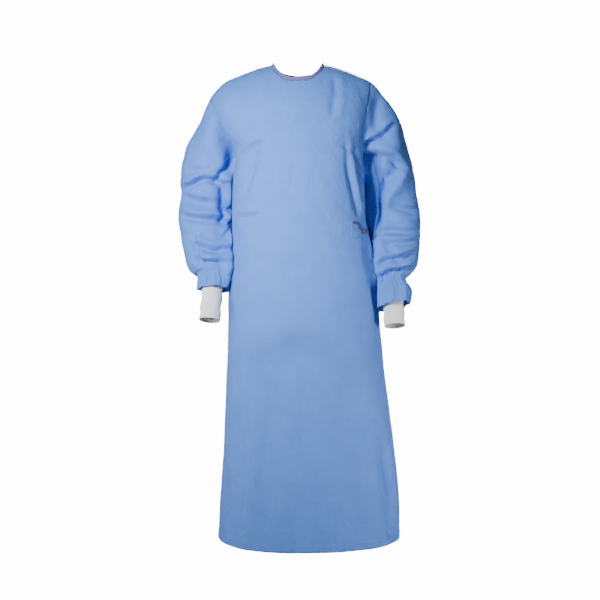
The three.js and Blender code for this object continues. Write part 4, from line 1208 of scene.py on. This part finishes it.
dress(patch, gown_cloth, "tie_patch")
dress(tie, tie_tape, "tie_short")
dress(belt, tie_tape, "belt")
dress(knot, tie_tape, "belt_knot")


# Studio
# A plain white floor and wall round the gown, a soft key light before it on the left and a wide low fill.
# Weak lights at both sides and a strong one behind shape the edges; the camera looks from chest height.

FLOOR_Z = -1.46
STAGE_RADIUS = 7
STAGE_HEIGHT = 14
STAGE_SIDES = 64
STAGE_WHITE = {
    "Base Color": (0.92, 0.92, 0.92, 1),
    "Roughness": 0.9,
    "Emission Color": (1, 1, 1, 1),
    "Emission Strength": 14,
}
AMBIENT = {"Color": (0.90, 0.95, 1.0, 1), "Strength": 0.07}
CAMERA_PLACE = (0.0052, -3.5, -0.30)
CAMERA_TILT = math.radians(90 - 4.2)
CAMERA_LENS = 80.76
SENSOR = 36

# Square soft lights: place, aim, size, power, spread in degrees and colour.
LIGHTS = {
    "key_light": ((-0.74, -1.44, 0.16), (0, 0, -0.28), 0.4, 9.9, 72, (0.94, 1.0, 1.0)),
    "fill_light": ((0.5, -2.8, -0.8), (0, 0, -0.9), 1.6, 7.2, 180, (1.0, 0.94, 0.84)),
    "left_light": ((-1.5, -0.7, -0.95), (0, 0, -0.92), 0.7, 2.2, 62, (1, 1, 1)),
    "right_light": ((1.5, -0.7, -0.95), (0, 0, -0.86), 0.7, 3.4, 62, (1, 1, 1)),
    "back_light": ((0.6, 2.2, 0.5), (0, 0, -0.45), 0.8, 60, 180, (1, 1, 1)),
}

world = bpy.data.worlds.new("studio")
world.use_nodes = True
for socket, value in AMBIENT.items():
    world.node_tree.nodes["Background"].inputs[socket].default_value = value
bpy.context.scene.world = world

studio_white = new_finish("studio_white", STAGE_WHITE)
bpy.ops.mesh.primitive_circle_add(vertices=STAGE_SIDES, radius=STAGE_RADIUS, fill_type="NGON",
                                  location=(0, 0, FLOOR_Z))
bpy.ops.object.transform_apply(location=True, rotation=False, scale=False)
floor = bpy.context.active_object
floor.name = "studio_floor"
bpy.ops.mesh.primitive_cylinder_add(vertices=STAGE_SIDES, radius=STAGE_RADIUS, depth=STAGE_HEIGHT,
                                    end_fill_type="NOTHING")
wall = bpy.context.active_object
wall.name = "studio_wall"
for each in (floor, wall):
    each.data.materials.append(studio_white)
    each.visible_diffuse = False
    each.visible_glossy = False

for name, (place, aim, size, power, spread, colour) in LIGHTS.items():
    lamp = bpy.data.lights.new(name, "AREA")
    lamp.size = size
    lamp.spread = math.radians(spread)
    lamp.energy = power
    lamp.color = colour
    light = add_object(name, lamp)
    light.location = place
    light.rotation_euler = (Vector(aim) - Vector(place)).to_track_quat("-Z", "Y").to_euler()
    light.visible_camera = False

lens = bpy.data.cameras.new("photo_camera")
lens.lens = CAMERA_LENS
lens.sensor_width = SENSOR
lens.sensor_height = SENSOR
lens.sensor_fit = "HORIZONTAL"
camera = add_object("photo_camera", lens)
camera.location = CAMERA_PLACE
camera.rotation_euler = (CAMERA_TILT, 0, 0)
bpy.context.scene.camera = camera
